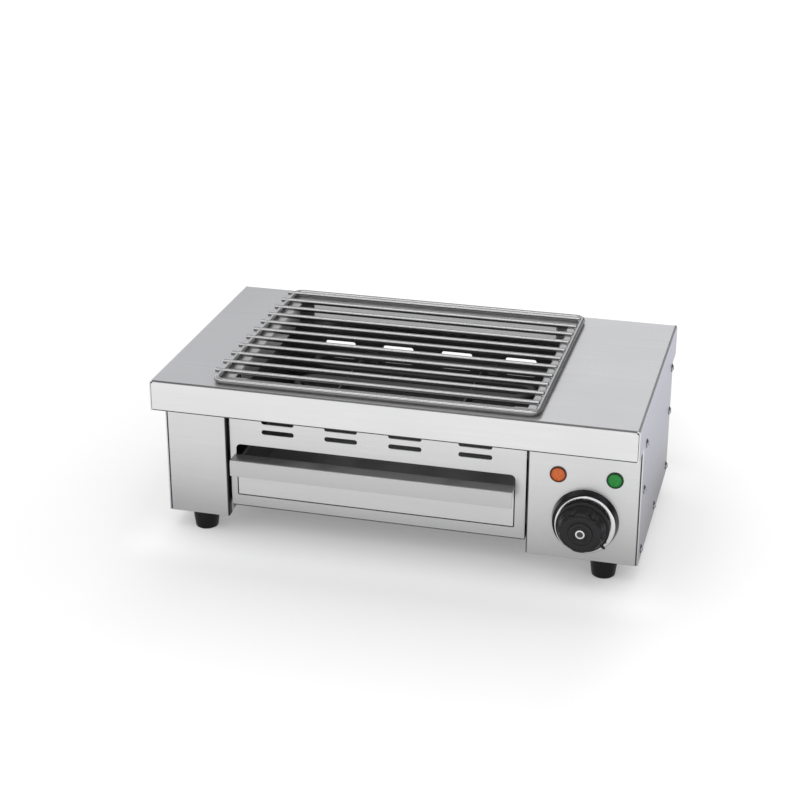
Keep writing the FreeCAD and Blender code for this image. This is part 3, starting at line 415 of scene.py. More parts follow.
def bumped(tree, height, strength, distance):
    return add(tree, "ShaderNodeBump",
               {"Height": height, "Strength": strength, "Distance": distance}
               ).outputs["Normal"]


def tone(base, factor=1.0):
    """Colour times a factor, with full alpha."""
    return tuple(min(1.0, c * factor) for c in base) + (1.0,)


def shade(red, green=None, blue=None):
    """Colour with full alpha that may be brighter than white; grey from one number."""
    return (red, red if green is None else green, red if blue is None else blue, 1.0)


def brushed_steel(name, base, roughness, frontal=None, handle=False):
    """Brushed sheet with a painted dark reflection line along its folds and painted shade on
    its undersides and recess walls; the tone given for the faces turned forward is painted
    shade.

    A handle gets painted shade, darker on its flange in front and on its ledge on top.  A faint
    painted glow stands for light thrown back into the rear skirt of the cut-out.
    """
    material, tree, shader = new_material(name, Emission_Strength=0.28)
    lines = effect(tree, "Brushed Lines")
    patches = clouded(tree, 9.0, 1.6)
    banded = blend(tree, lines["Bands"], tone(base, 0.94), tone(base, 1.06))
    wear_and_shade = blend(tree, ramp(tree, patches, 0.2, 0.9), banded, tone(base, 0.985))
    folds = effect(tree, "Sheet Folds")
    if frontal:
        # Painted shade on the faces turned forward.
        wear_and_shade = blend(tree, folds["Lining"], wear_and_shade, tone(frontal))
    if handle:
        depth = split(tree, coordinate(tree, "Object"))["Y"]
        # Painted shade: the flange in front and the ledge on top are darker.
        wear_and_shade = blend(tree, ramp(tree, depth, *FLANGE_FADE), wear_and_shade, tone(base, 0.70))
        wear_and_shade = blend(tree, ramp(tree, facing(tree)["Z"], 0.90, 0.99), wear_and_shade, tone(base, 0.40))
    # Painted dark reflection line along each fold; on a handle the folds stay nearly as light
    # as the sheet.
    folded = blend(tree, folds["Bends"], wear_and_shade, tone(base, 0.95 if handle else 0.22))
    feed(tree, shader,
         # Painted shade on the undersides and on the side walls of the recess.
         Base_Color=blend(tree, folds["Undersides"], folded, tone(base, 0.05)),
         Metallic=minus(tree, 0.80, multiply(tree, folds["Skirt"], 0.62)),
         Emission_Color=blend(tree, folds["Skirt"], shade(0.0), tone(base)),
         Roughness=roughened(tree, roughness, (lines["Lines"], 0.10), (patches, 0.05)),
         Normal=bumped(tree, lines["Lines"], 0.22, 0.00002))
    return material


def heat_stained_steel(name, base, roughness):
    """Sheet inside the chamber, dulled and tinted by the heater."""
    material, tree, shader = new_material(name, Metallic=1.0)
    stain = effect(tree, "Heat Stain")["Stain"]
    lines = effect(tree, "Brushed Lines")["Lines"]
    patches = clouded(tree, 26.0, 2.0)
    straw = shade(base[0] * 0.94, base[1] * 0.93, base[2] * 0.88)
    tinted = blend(tree, ramp(tree, stain, 0.25, 0.8), tone(base), straw)
    feed(tree, shader,
         Base_Color=blend(tree, ramp(tree, patches, 0.45, 0.95), tinted, tone(base, 0.80)),
         Roughness=roughened(tree, roughness, (patches, 0.25), (lines, 0.08)),
         Normal=bumped(tree, lines, 0.2, 0.00002))
    return material


def plated(name, base, roughness, patch_size=60.0, metallic=1.0):
    """Plated or drawn metal with faint clouding in tone and gloss."""
    material, tree, shader = new_material(name, Metallic=metallic)
    patches = clouded(tree, patch_size)
    feed(tree, shader,
         Base_Color=blend(tree, patches, tone(base, 0.93), tone(base, 1.04)),
         Roughness=roughened(tree, roughness, (patches, 0.10)),
         Normal=bumped(tree, patches, 0.05, 0.00005))
    return material


def moulded(name, base, roughness, depth=0.00003, fineness=2200.0, **constants):
    """Moulded plastic or rubber with an even grain and slight handling marks."""
    material, tree, shader = new_material(name, **constants)
    grain = effect(tree, "Moulded Grain", Fineness=fineness)["Grain"]
    patches = clouded(tree, 45.0, 1.5)
    feed(tree, shader,
         Base_Color=blend(tree, patches, tone(base, 0.85), tone(base, 1.2)),
         Roughness=roughened(tree, roughness, (patches, 0.14), (grain, 0.12)),
         Normal=bumped(tree, grain, 0.35, depth))
    return material


def lamp_lens(name, base):
    """Unlit coloured lens: a grained heart, a deeper rim and a faint painted glow, though the
    lamp is off.
    """
    material, tree, shader = new_material(name, Roughness=0.2, IOR=1.40,
                                          Emission_Strength=0.08)
    grain = effect(tree, "Moulded Grain", Fineness=900.0)["Grain"]
    heart = blend(tree, ramp(tree, grain, 0.25, 0.7), tone(base, 0.62), tone(base, 1.15))
    rim = effect(tree, "Turned Rim", Start=0.70, End=0.88)["Rim"]
    tinted = blend(tree, rim, heart, tone(base, 0.12))
    # Painted light: a faint glow in the lens's own colour.
    feed(tree, shader, Base_Color=tinted, Emission_Color=tinted,
         Normal=bumped(tree, grain, 0.25, 0.0003))
    return material


def collar_with_painted_reflection(name, front, side, roughness, shift, radius):
    """Collar whose front is bright within a circle off its axis; the dark rest is a painted
    dark reflection.
    """
    material, tree, shader = new_material(name, Metallic=1.0)
    middle = node_middle("knob_bezel")
    off = add(tree, "ShaderNodeVectorMath",
              {0: coordinate(tree, "Object"),
               1: (middle.x + shift[0], 0.0, middle.z + shift[1])},
              operation="SUBTRACT").outputs["Vector"]
    away = span(tree, scaled(tree, off, 1.0, 0.0, 1.0))
    # Painted dark reflection outside a bright circle set off the axis.
    ring = multiply(tree, ramp(tree, facing(tree)["Y"], -0.60, -0.80),
                    ramp(tree, away, radius + 0.0002, radius - 0.0002))
    patches = clouded(tree, 22.0)
    bright = blend(tree, patches, tone(front, 0.95), tone(front, 1.03))
    feed(tree, shader, Base_Color=blend(tree, ring, tone(side), bright),
         Roughness=roughened(tree, roughness, (patches, 0.08)))
    return material


def wire_plate(name, base, roughness):
    """Drawn and plated wire with painted shade: darker underneath and dark on the sheared ends
    of the bars.
    """
    material, tree, shader = new_material(name, Metallic=0.92)
    look = facing(tree)
    patches = clouded(tree, 30.0)
    bright = blend(tree, patches, tone(base, 0.94), tone(base, 1.04))
    # Painted shade where the wire faces down.
    dulled = blend(tree, ramp(tree, look["Z"], 0.40, 0.10), bright, tone(base, 0.35))
    # Painted shade on the bars' end faces.
    sheared = ramp(tree, look["X"], -0.55, -0.85)
    feed(tree, shader, Base_Color=blend(tree, sheared, dulled, tone(base, 0.06)),
         Roughness=roughened(tree, roughness, (patches, 0.08)),
         Normal=bumped(tree, patches, 0.05, 0.00005))
    return material


def screw_plate(name, base):
    """Zinc plate with painted shade round the curved rim of each head."""
    material, tree, shader = new_material(name, Metallic=1.0)
    # Painted shade round the rim, outside the flat top of the head.
    flat = ramp(tree, absolute(tree, facing(tree)["X"]), 0.45, 0.88)
    patches = clouded(tree, 180.0)
    bright = blend(tree, patches, tone(base, 0.9), tone(base, 1.05))
    feed(tree, shader, Base_Color=blend(tree, flat, tone(base, 0.10), bright),
         Roughness=roughened(tree, 0.25, (patches, 0.10)))
    return material


def pressed_button(name, base):
    """Bright ring round a dark middle."""
    material, tree, shader = new_material(name, Metallic=1.0)
    patches = clouded(tree, 200.0)
    bright = blend(tree, patches, tone(base, 0.9), tone(base, 1.04))
    ring = effect(tree, "Turned Rim", Start=0.60, End=0.68)["Rim"]
    feed(tree, shader, Base_Color=blend(tree, ring, tone(base, 0.10), bright),
         Roughness=roughened(tree, 0.22, (patches, 0.08)))
    return material


def finishes():
    """Every material of the object, made once."""
    look = bpy.context.scene.roaster_finish
    steel = tuple(look.steel)
    return {
        "sheet": brushed_steel("Brushed Sheet", steel, look.steel_rough),
        # The rear panel carries painted shade on its faces turned forward, inside the chamber.
        "rear": brushed_steel("Rear Sheet Shaded Inside", steel, look.steel_rough,
                              frontal=(0.14, 0.14, 0.14)),
        # Painted light: the drawer's sheet is the same steel, 1.16 times lighter.
        "drawer": brushed_steel("Brushed Drawer Sheet", tuple(c * 1.16 for c in steel),
                                look.steel_rough * 1.05, handle=True),
        # Painted shade: the tray's sheet is the same steel at 0.34 of its tone.
        "tray": brushed_steel("Tray Sheet Painted Dark", tuple(c * 0.34 for c in steel),
                              look.steel_rough * 1.2),
        "chamber": heat_stained_steel("Chamber Sheet", tuple(look.chamber), 0.42),
        "wire": wire_plate("Bright Wire", tuple(look.wire), 0.22),
        "sheath": plated("Heater Sheath", tuple(look.sheath), 0.5, 90.0, 0.6),
        "nickel": plated("Nickel Plate", (0.62, 0.59, 0.54), 0.3),
        "zinc": plated("Zinc Plate", (0.62, 0.62, 0.64), 0.28, 180.0),
        "screw": screw_plate("Screw Heads", (0.70, 0.70, 0.71)),
        "copper": plated("Drawn Copper", (0.72, 0.42, 0.27), 0.32),
        "collar": collar_with_painted_reflection("Bright Collar", tuple(look.collar), tuple(look.collar_side), 0.2,
                           (0.0047, -0.0020), 0.0335),
        "button": pressed_button("Cap Button", tuple(look.collar)),
        "ceramic": moulded("Glazed Ceramic", (0.78, 0.76, 0.70), 0.22, 0.00001),
        "knob": moulded("Knob Moulding", tuple(look.knob), 0.30, Specular_IOR_Level=0.3),
        "black": moulded("Black Moulding", (0.02, 0.02, 0.02), 0.45),
        "thermoset": moulded("Brown Thermoset", (0.16, 0.095, 0.05), 0.5),
        "rubber": moulded("Foot Rubber", tuple(look.rubber), 0.28, 0.00003, 1500.0,
                          Specular_IOR_Level=0.4),
        "orange": lamp_lens("Orange Lens", tuple(look.orange)),
        "green": lamp_lens("Green Lens", tuple(look.green)),
    }


FINISH = {}


def finish(name):
    if not FINISH:
        FINISH.update(finishes())
    return FINISH[name]


# ---- meshes ------------------------------------------------------------------------------

# Angles in degrees: flat triangles joined again, cut edges broken, crisp lines kept.
FLAT, CUT_EDGE, CRISP, CRISP_SHEET, CRISP_KNOB = 0.4, 40.0, 32.0, 50.0, 38.0


def sharpen(mesh, degrees=CRISP):
    """Smooth shading with a crisp line wherever two faces meet more steeply."""
    mesh.shade_smooth()
    mesh.set_sharp_from_angle(angle=math.radians(degrees))


def place(name, mesh, material, replaced, slot, body="housing"):
    """Object for a finished mesh, riding on its body in place of its CAD nodes."""
    mesh.materials.clear()
    mesh.materials.append(material)
    piece = bpy.data.objects.new(name, mesh)
    bpy.context.scene.collection.objects.link(piece)
    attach(piece, body)
    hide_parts(*replaced)
    return piece


def applied(piece):
    """Mesh of an object with its modifiers worked in."""
    evaluated = piece.evaluated_get(bpy.context.evaluated_depsgraph_get())
    return bpy.data.meshes.new_from_object(evaluated)


def softened(name, node, material, slot, body="housing", width=None):
    """Copy of a folded or machined node with its cut edges broken."""
    mesh = nodes[node].data.copy()
    mesh.name = name
    form = merged(mesh)
    bmesh.ops.dissolve_limit(form, angle_limit=math.radians(FLAT), verts=form.verts,
                             edges=form.edges)
    form.to_mesh(mesh)
    form.free()
    if mesh.attributes.get("custom_normal"):
        mesh.attributes.remove(mesh.attributes["custom_normal"])
    draft = bpy.data.objects.new(name + "_draft", mesh)
    bpy.context.scene.collection.objects.link(draft)
    bevel = draft.modifiers.new("Broken edge", "BEVEL")
    bevel.width = width or bpy.context.scene.roaster_sizes.edge_round
    bevel.segments = 2
    bevel.limit_method = "ANGLE"
    bevel.angle_limit = math.radians(CUT_EDGE)
    bevel.miter_outer = "MITER_ARC"
    bevel.harden_normals = True
    sharpen(mesh, CRISP_SHEET)
    result = applied(draft)
    bpy.data.objects.remove(draft)
    result.name = name
    return place(name, result, material, [node], slot, body)


def skin(form, rings):
    """Faces from each ring of points to the next; a ring of one point closes the form."""
    for first, second in zip(rings, rings[1:]):
        segments = max(len(first), len(second))
        for step in range(segments):
            after = (step + 1) % segments
            corners = [first[step % len(first)], first[after % len(first)],
                       second[after % len(second)], second[step % len(second)]]
            unique = list(dict.fromkeys(corners))
            if len(unique) > 2:
                form.faces.new(unique)


def finished(form, name):
    """Mesh of a form with its faces turned outwards."""
    bmesh.ops.recalc_face_normals(form, faces=form.faces)
    mesh = bpy.data.meshes.new(name)
    form.to_mesh(mesh)
    form.free()
    return mesh


def merged(mesh):
    """Form of a mesh with its doubled points joined."""
    form = bmesh.new()
    form.from_mesh(mesh)
    bmesh.ops.remove_doubles(form, verts=form.verts, dist=MERGE)
    return form


def turned_out(mesh):
    """Joins doubled points of a mesh and turns its faces outwards."""
    form = merged(mesh)
    bmesh.ops.recalc_face_normals(form, faces=form.faces)
    form.to_mesh(mesh)
    form.free()


def turns(segments):
    return [2 * math.pi * step / segments for step in range(segments)]


def lathe(name, profile, centre, direction=(0, -1, 0), segments=96):
    """Turned mesh from (distance, radius) points, closed where the radius is zero."""
    form = bmesh.new()
    axis = Vector(direction).normalized()
    across = axis.orthogonal().normalized()
    other = axis.cross(across)
    rings = []
    for distance, radius in profile:
        base = Vector(centre) + axis * distance
        if radius == 0:
            rings.append([form.verts.new(base)])
        else:
            rings.append([form.verts.new(
                base + (across * math.cos(t) + other * math.sin(t)) * radius)
                for t in turns(segments)])
    skin(form, rings)
    mesh = finished(form, name)
    widest = max(radius for _, radius in profile)
    reach = mesh.attributes.new("span", "FLOAT", "POINT")
    for vert, item in zip(mesh.vertices, reach.data):
        off = vert.co - Vector(centre)
        item.value = (off - axis * off.dot(axis)).length / widest
    sharpen(mesh)
    return mesh


def arc(centre, radius, start, end, steps=6):
    """Points of a rounded corner as (distance, radius) pairs, angles in degrees."""
    angles = [math.radians(start + (end - start) * step / steps) for step in range(steps + 1)]
    return [(centre[0] + radius * math.cos(a), centre[1] + radius * math.sin(a))
            for a in angles]


def rounded(height, radius, edge):
    """Rounded front edge of a turned piece."""
    return arc((height - edge, radius - edge), edge, 90, 0)


# ---- geometry nodes ----------------------------------------------------------------------

def new_tree(name, inputs):
    """Geometry tree, its inputs of (name, kind, default) as sockets, and its exit node."""
    tree = bpy.data.node_groups.new(name, "GeometryNodeTree")
    for way in ("INPUT", "OUTPUT"):
        tree.interface.new_socket("Geometry", in_out=way, socket_type="NodeSocketGeometry")
    for label, kind, default in inputs:
        socket = tree.interface.new_socket(label, in_out="INPUT",
                                           socket_type="NodeSocket" + kind)
        if default is not None:
            socket.default_value = default
    given = tree.nodes.new("NodeGroupInput").outputs
    return tree, given, tree.nodes.new("NodeGroupOutput")


def end_tree(tree, exit_node, geometry, material):
    """Realizes the copies and sets the material at the end of a tree."""
    whole = add(tree, "GeometryNodeRealizeInstances", {0: geometry})
    coated = add(tree, "GeometryNodeSetMaterial", {0: whole.outputs[0], "Material": material})
    tree.links.new(coated.outputs[0], exit_node.inputs["Geometry"])
    return tree


def grown(name, data, tree, values):
    """Plain mesh that a geometry tree makes from some starting data."""
    seed = bpy.data.objects.new(name + "_seed", data)
    bpy.context.scene.collection.objects.link(seed)
    modifier = seed.modifiers.new(tree.name, "NODES")
    modifier.node_group = tree
    for item in tree.interface.items_tree:
        if item.item_type == "SOCKET" and item.in_out == "INPUT" and item.name in values:
            modifier[item.identifier] = values[item.name]
    mesh = applied(seed)
    seed.modifiers.remove(modifier)
    bpy.data.objects.remove(seed)
    mesh.name = name
    return mesh


def round_bar(tree, curve, diameter, sides):
    """Solid round bar along a curve."""
    ring = add(tree, "GeometryNodeCurvePrimitiveCircle",
               {"Resolution": sides, "Radius": math_node(tree, "DIVIDE", diameter, 2.0)})
    return add(tree, "GeometryNodeCurveToMesh",
               {"Curve": curve, "Profile Curve": ring.outputs["Curve"],
                "Fill Caps": True}).outputs["Mesh"]


def bent(tree, curve, radius, steps):
    """Poly curve with every corner bent to one radius."""
    return add(tree, "GeometryNodeFilletCurve",
               {"Curve": curve, "Radius": radius, "Count": steps, "Limit Radius": True},
               mode="POLY").outputs[0]


def moved(tree, geometry, **values):
    values = {key.title(): value for key, value in values.items()}
    return add(tree, "GeometryNodeTransform", {"Geometry": geometry, **values}).outputs[0]


def set_on(tree, points, piece, **values):
    """A copy of a piece on every point."""
    return add(tree, "GeometryNodeInstanceOnPoints",
               {"Points": points, "Instance": piece, **values}).outputs[0]


def grate_tree():
    """Rounded frame rod with evenly spaced bars and a bead where each bar is welded."""
    tree, given, exit_node = new_tree("Wire Grate", (
        ("Width", "Float", 0.3), ("Depth", "Float", 0.25), ("Frame Wire", "Float", 0.006),
        ("Bar Wire", "Float", 0.005), ("Corner", "Float", 0.008), ("Bars", "Int", 11),
        ("First Bar", "Float", 0.02), ("Last Bar", "Float", 0.02), ("Lift", "Float", 0.0015),
        ("Overhang", "Float", 0.004), ("Stop", "Float", 0.0023), ("Bead", "Float", 0.003),
        ("Centre", "Vector", None), ("Material", "Material", None)))
    wide = minus(tree, given["Width"], given["Frame Wire"])
    deep = minus(tree, given["Depth"], given["Frame Wire"])
    loop = add(tree, "GeometryNodeCurvePrimitiveQuadrilateral", {"Width": wide, "Height": deep})
    rim = round_bar(tree, bent(tree, loop.outputs[0], given["Corner"], 10),
                    given["Frame Wire"], 24)
    lift = given["Lift"]
    front = plus(tree, multiply(tree, given["Depth"], -0.5), given["First Bar"])
    rear = minus(tree, multiply(tree, given["Depth"], 0.5), given["Last Bar"])
    row = add(tree, "GeometryNodeMeshLine",
              {"Count": given["Bars"], "Start Location": combine(tree, y=front, z=lift),
               "Offset": combine(tree, y=rear, z=lift)}, mode="END_POINTS").outputs[0]
    left = minus(tree, multiply(tree, given["Width"], -0.5), given["Overhang"])
    right = minus(tree, multiply(tree, wide, 0.5), given["Stop"])
    line = add(tree, "GeometryNodeCurvePrimitiveLine",
               {"Start": combine(tree, x=left), "End": combine(tree, x=right)})
    bar = round_bar(tree, line.outputs[0], given["Bar Wire"], 20)
    parts = [rim, set_on(tree, row, bar)]
    ball = add(tree, "GeometryNodeMeshUVSphere", {"Segments": 16, "Rings": 10,
                                                  "Radius": given["Bead"]})
    bead = moved(tree, ball.outputs[0], scale=(1.0, 1.0, 0.62))
    drop = multiply(tree, lift, -1.0)
    for reach in (multiply(tree, wide, -0.5), right):
        ends = moved(tree, row, translation=combine(tree, x=reach, z=drop))
        parts.append(set_on(tree, ends, bead))
    joined = tree.nodes.new("GeometryNodeJoinGeometry")
    for part in parts:
        tree.links.new(part, joined.inputs[0])
    smooth = add(tree, "GeometryNodeSetShadeSmooth", {0: joined.outputs[0]}).outputs[0]
    return end_tree(tree, exit_node, moved(tree, smooth, translation=given["Centre"]),
                    given["Material"])


def tube_tree():
    """Round tube along a poly curve, every corner bent to one radius."""
    tree, given, exit_node = new_tree("Bent Tube", (
        ("Diameter", "Float", 0.008), ("Bend", "Float", 0.018),
        ("Material", "Material", None)))
    run = bent(tree, given["Geometry"], given["Bend"], 12)
    smooth = add(tree, "GeometryNodeSetShadeSmooth",
                 {0: round_bar(tree, run, given["Diameter"], 24)})
    return end_tree(tree, exit_node, smooth.outputs[0], given["Material"])


def copies_tree():
    """A piece set on every point, turned about the upright axis."""
    tree, given, exit_node = new_tree("Set Copies", (
        ("Piece", "Object", None), ("Turn", "Float", 0.0), ("Material", "Material", None)))
    piece = add(tree, "GeometryNodeObjectInfo", {"Object": given["Piece"]})
    turn = add(tree, "FunctionNodeEulerToRotation", {0: combine(tree, z=given["Turn"])})
    copies = set_on(tree, given["Geometry"], piece.outputs["Geometry"],
                    Rotation=turn.outputs[0])
    return end_tree(tree, exit_node, copies, given["Material"])


def on_points(name, mesh, points, turn, material):
    """One mesh with a copy of a piece, made at the origin, on each point."""
    tree = bpy.data.node_groups.get("Set Copies") or copies_tree()
    pattern = bpy.data.objects.new(name + "_pattern", mesh)
    bpy.context.scene.collection.objects.link(pattern)
    cloud = bpy.data.meshes.new(name + "_points")
    cloud.from_pydata([tuple(point) for point in points], [], [])
    result = grown(name, cloud, tree, {"Piece": pattern, "Turn": turn, "Material": material})
    bpy.data.objects.remove(pattern)
    return result


def loose_parts(node):
    """Lowest and highest corner of each separate solid of a CAD node."""
    form = merged(nodes[node].data)
    todo = set(form.verts)
    boxes = []
    while todo:
        front = [todo.pop()]
        part = []
        while front:
            vert = front.pop()
            part.append(vert.co.copy())
            linked = [edge.other_vert(vert) for edge in vert.link_edges]
            fresh = [other for other in linked if other in todo]
            todo.difference_update(fresh)
            front.extend(fresh)
        low = Vector([min(co[i] for co in part) for i in range(3)])
        high = Vector([max(co[i] for co in part) for i in range(3)])
        boxes.append((low, high))
    form.free()
    return boxes


# ---- operators: the object ---------------------------------------------------------------

def plain_name(node):
    """Name of the piece that stands for a node."""
    return node.replace("_", " ").title().replace(" ", "")


class ROASTER_OT_sheet_metal(Operator):
    """Dress the folded cover, piers, panels and soffits"""

    bl_idname = "roaster.sheet_metal"
    bl_label = "Sheet Metal"

    def execute(self, context):
        for node in FOLDED:
            coat = finish("rear" if node == "rear_panel" else "sheet")
            softened(plain_name(node), node, coat, "folded_steel")
        return {"FINISHED"}


class ROASTER_OT_drawer(Operator):
    """Dress the drip drawer's front and tray"""

    bl_idname = "roaster.drawer"
    bl_label = "Drip Drawer"

    def execute(self, context):
        for node, coat in DRAWER:
            softened(plain_name(node), node, finish(coat), "drawer_steel", "drawer")
        return {"FINISHED"}


class ROASTER_OT_grate(Operator):
    """Bend and weld the wire grate"""

    bl_idname = "roaster.grate"
    bl_label = "Wire Grate"

    def execute(self, context):
        sizes = context.scene.roaster_sizes
        low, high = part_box("grill_grate")
        left = low.x + sizes.bar_overhang
        centre = ((left + high.x) / 2, (low.y + high.y) / 2, low.z + sizes.frame_wire / 2)
        values = {"Width": high.x - left, "Depth": high.y - low.y,
                  "Frame Wire": sizes.frame_wire, "Bar Wire": sizes.bar_wire,
                  "Corner": sizes.grate_corner, "Bars": sizes.bar_count,
                  "First Bar": sizes.bar_first, "Last Bar": sizes.bar_last,
                  "Lift": sizes.bar_lift, "Overhang": sizes.bar_overhang,
                  "Stop": sizes.bar_stop, "Bead": sizes.weld, "Centre": centre,
                  "Material": finish("wire")}
        mesh = grown("WireGrate", bpy.data.meshes.new("grate_seed"), grate_tree(), values)
        place("WireGrate", mesh, finish("wire"), ["grill_grate"], "bright_wire", "grate")
        return {"FINISHED"}


class ROASTER_OT_heater(Operator):
    """Bend the heating tube"""

    bl_idname = "roaster.heater"
    bl_label = "Heating Tube"

    def execute(self, context):
        sizes = context.scene.roaster_sizes
        low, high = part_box("heating_element")
        reach = sizes.heater_tube / 2
        height = (low.z + high.z) / 2
        legs = sizes.heater_legs
        first, last = low.y + reach, high.y - reach
        rows = [first + (last - first) * leg / (legs - 1) for leg in range(legs)]
        bends = (low.x + reach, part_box("divider_wall")[0].x - sizes.heater_right)
        points = [(high.x, rows[0], height)]
        for leg in range(legs - 1):
            turn = bends[leg % 2]
            points += [(turn, rows[leg], height), (turn, rows[leg + 1], height)]
        points.append((high.x, rows[-1], height))
        curve = bpy.data.curves.new("heater_run", "CURVE")
        curve.dimensions = "3D"
        run = curve.splines.new("POLY")
        run.points.add(len(points) - 1)
        for spot, point in zip(run.points, points):
            spot.co = (*point, 1.0)
        shy_of_half = 1e-5      # two full half turns would meet in one point
        values = {"Diameter": sizes.heater_tube,
                  "Bend": (rows[1] - rows[0]) / 2 - shy_of_half,
                  "Material": finish("sheath")}
        mesh = grown("HeatingTube", curve, tube_tree(), values)
        place("HeatingTube", mesh, finish("sheath"), ["heating_element"], "heater_sheath")
        return {"FINISHED"}


GRIP_START = math.radians(-3.0)     # angle of the first scallop
GRIP_MELT = 0.0009                  # width over which a scallop melts into the circle
KNOB_STEP = 0.0046                  # thickness of the skirt, behind the grip
KNOB_BASE, KNOB_FACE = 0.0244, 0.0223   # radius of the grip at the skirt and in front
KNOB_EDGE = 0.0056                  # rounding of the grip's front edge
SCALLOP_BASE, SCALLOP_FACE = KNOB_BASE - 0.0004, KNOB_FACE - 0.0032
POINTER_TURN = math.radians(42.0)
POINTER_LEVELS = ((-0.0031, 1.0), (-0.0042, 0.92))      # depth and share of the outline
POINTER = ((-0.0040, -0.0020), (-0.0040, 0.0020), (0.0026, 0.0014), (0.0046, 0.0),
           (0.0026, -0.0014))
CAP_RING, CAP_EDGE, GROOVE = 0.62, 0.0006, 0.00035      # share of the radius, sizes
COLLAR_WALL, COLLAR_FRONT, COLLAR_INNER = 0.0016, 0.0315, 0.0230


def grip_outline(angle, radius, sizes, half):
    """Radius of the knob at an angle, where round scallops bite into a plain circle."""
    pitch = 2 * math.pi / sizes.knob_grips
    off = (angle - GRIP_START + pitch / 2) % pitch - pitch / 2
    distance = half + sizes.grip_radius
    edge = sizes.grip_radius ** 2 - (distance * math.sin(off)) ** 2
    if edge <= 0:
        return radius
    near = distance * math.cos(off) - math.sqrt(edge)
    mix = max(0.0, min(1.0, 0.5 + 0.5 * (radius - near) / GRIP_MELT))
    return radius * (1 - mix) + near * mix - GRIP_MELT * mix * (1 - mix)


class ROASTER_OT_knob(Operator):
    """Mould the knob with its finger grips, cap, pointer and bright collar"""

    bl_idname = "roaster.knob"
    bl_label = "Thermostat Knob"

    def execute(self, context):
        skirt, depth, centre = turned_node("knob")
        self.grip(centre, depth, skirt, context.scene.roaster_sizes)
        self.cap(centre)
        self.button(centre)
        self.collar(centre)
        return {"FINISHED"}

    def grip(self, centre, depth, skirt, sizes):
        """Skirt, scalloped grip with a rounded front edge, and the recess for the cap."""
        recess = node_size("knob_cap").x / 2
        base, face, step, wall = KNOB_BASE, KNOB_FACE, KNOB_STEP, depth - KNOB_EDGE
        plain = [(0.0, 0.0), (0.0, skirt - 0.0036), (0.0026, skirt - 0.0006), (0.0030, skirt),
                 *rounded(step, skirt, 0.0006), (step, base + 0.0012)]
        scalloped = [(step + 0.0002, base + 0.0004), (step + 0.0009, base)]
        steps = 10
        for part in [index / steps for index in range(1, steps + 1)]:
            scalloped.append((step + 0.0009 + (wall - step - 0.0009) * part,
                              base + (face - base) * part ** 2))
        scalloped += arc((wall, face - KNOB_EDGE), KNOB_EDGE, 90, 0, 7)[1:]
        front = [(depth - 0.0002, recess + 0.0009), (depth, recess + 0.0007),
                 (depth - 0.0002, recess + 0.0001), (depth - 0.0010, recess),
                 (depth - 0.0010, 0.0)]
        form = bmesh.new()
        angles = turns(240)

        def ring(distance, radii):
            return [form.verts.new(centre + Vector((radius * math.cos(angle), -distance,
                                                    radius * math.sin(angle))))
                    for angle, radius in zip(angles, radii)]

        def circle(distance, radius):
            return ring(distance, [radius] * len(angles) if radius else [radius])

        rings = [circle(*point) for point in plain]
        for distance, radius in scalloped:
            part = max(0.0, min(1.0, (distance - step) / (wall - step)))
            half = SCALLOP_BASE * (1 - part ** 2) + SCALLOP_FACE * part ** 2
            half += max(0.0, distance - depth + 0.0013)
            rings.append(ring(distance, [grip_outline(a, radius, sizes, half)
                                         for a in angles]))
        last = [grip_outline(a, radius, sizes, half) for a in angles]
        rings.append(ring(depth, [(radius + recess + 0.0012) / 2 for radius in last]))
        rings += [circle(*point) for point in front]
        skin(form, rings)
        self.pointer(form, centre, skirt)
        mesh = finished(form, "KnobGrip")
        sharpen(mesh, CRISP_KNOB)
        place("KnobGrip", mesh, finish("knob"), ["knob"], "knob_plastic", "knob")

    def pointer(self, form, centre, skirt):
        """Small wedge on the skirt that marks the setting."""
        turn = Matrix.Rotation(POINTER_TURN, 3, "Y")
        rings = [[form.verts.new(centre + turn @ Vector((skirt + u * inset, level, v * inset)))
                  for u, v in POINTER] for level, inset in POINTER_LEVELS]
        for ring in rings:
            form.faces.new(ring)
        skin(form, rings)

    def cap(self, centre):
        """Round cap with a ring groove."""
        radius, height, seat = turned_node("knob_cap", centre)
        ring = radius * CAP_RING
        profile = [(0, 0), (0, radius), (height - CAP_EDGE, radius - 0.00005),
                   *rounded(height, radius, CAP_EDGE),
                   (height, ring + 0.0007), (height - GROOVE, ring + 0.0002),
                   (height - GROOVE, ring - 0.0002), (height, ring - 0.0007), (height, 0)]
        mesh = lathe("KnobCap", profile, seat)
        place("KnobCap", mesh, finish("knob"), ["knob_cap"], "knob_plastic", "knob")

    def button(self, centre):
        """Small bright button with a pressed ring, in the middle of the cap."""
        radius, height, seat = turned_node("cap_button", centre)
        profile = [(0, 0), (0, radius), *rounded(height, radius, 0.0003),
                   (height, radius * 0.70), (height * 0.35, radius * 0.64),
                   (height * 0.35, radius * 0.34), (height * 0.9, radius * 0.28),
                   (height * 0.9, 0)]
        mesh = lathe("CapButton", profile, seat, segments=64)
        place("CapButton", mesh, finish("button"), ["cap_button"], "bright_collar", "knob")

    def collar(self, centre):
        """Collar round the knob: a rounded cone with a flat ring in front."""
        base, height, seat = turned_node("knob_bezel", centre)
        wall, front, inner = COLLAR_WALL, COLLAR_FRONT, COLLAR_INNER
        profile = [(0.0, base - wall), (0.0, base), (0.0006, base - 0.0001),
                   *arc((height - 0.0012, front - 0.0010), 0.0012, 80, 0),
                   (height, inner + 0.0004), (height - 0.0004, inner),
                   (height - wall, inner), (height - wall, front - wall), (0.0, base - wall)]
        mesh = lathe("KnobCollar", profile, seat, segments=128)
        turned_out(mesh)
        place("KnobCollar", mesh, finish("collar"), ["knob_bezel"], "bright_collar")


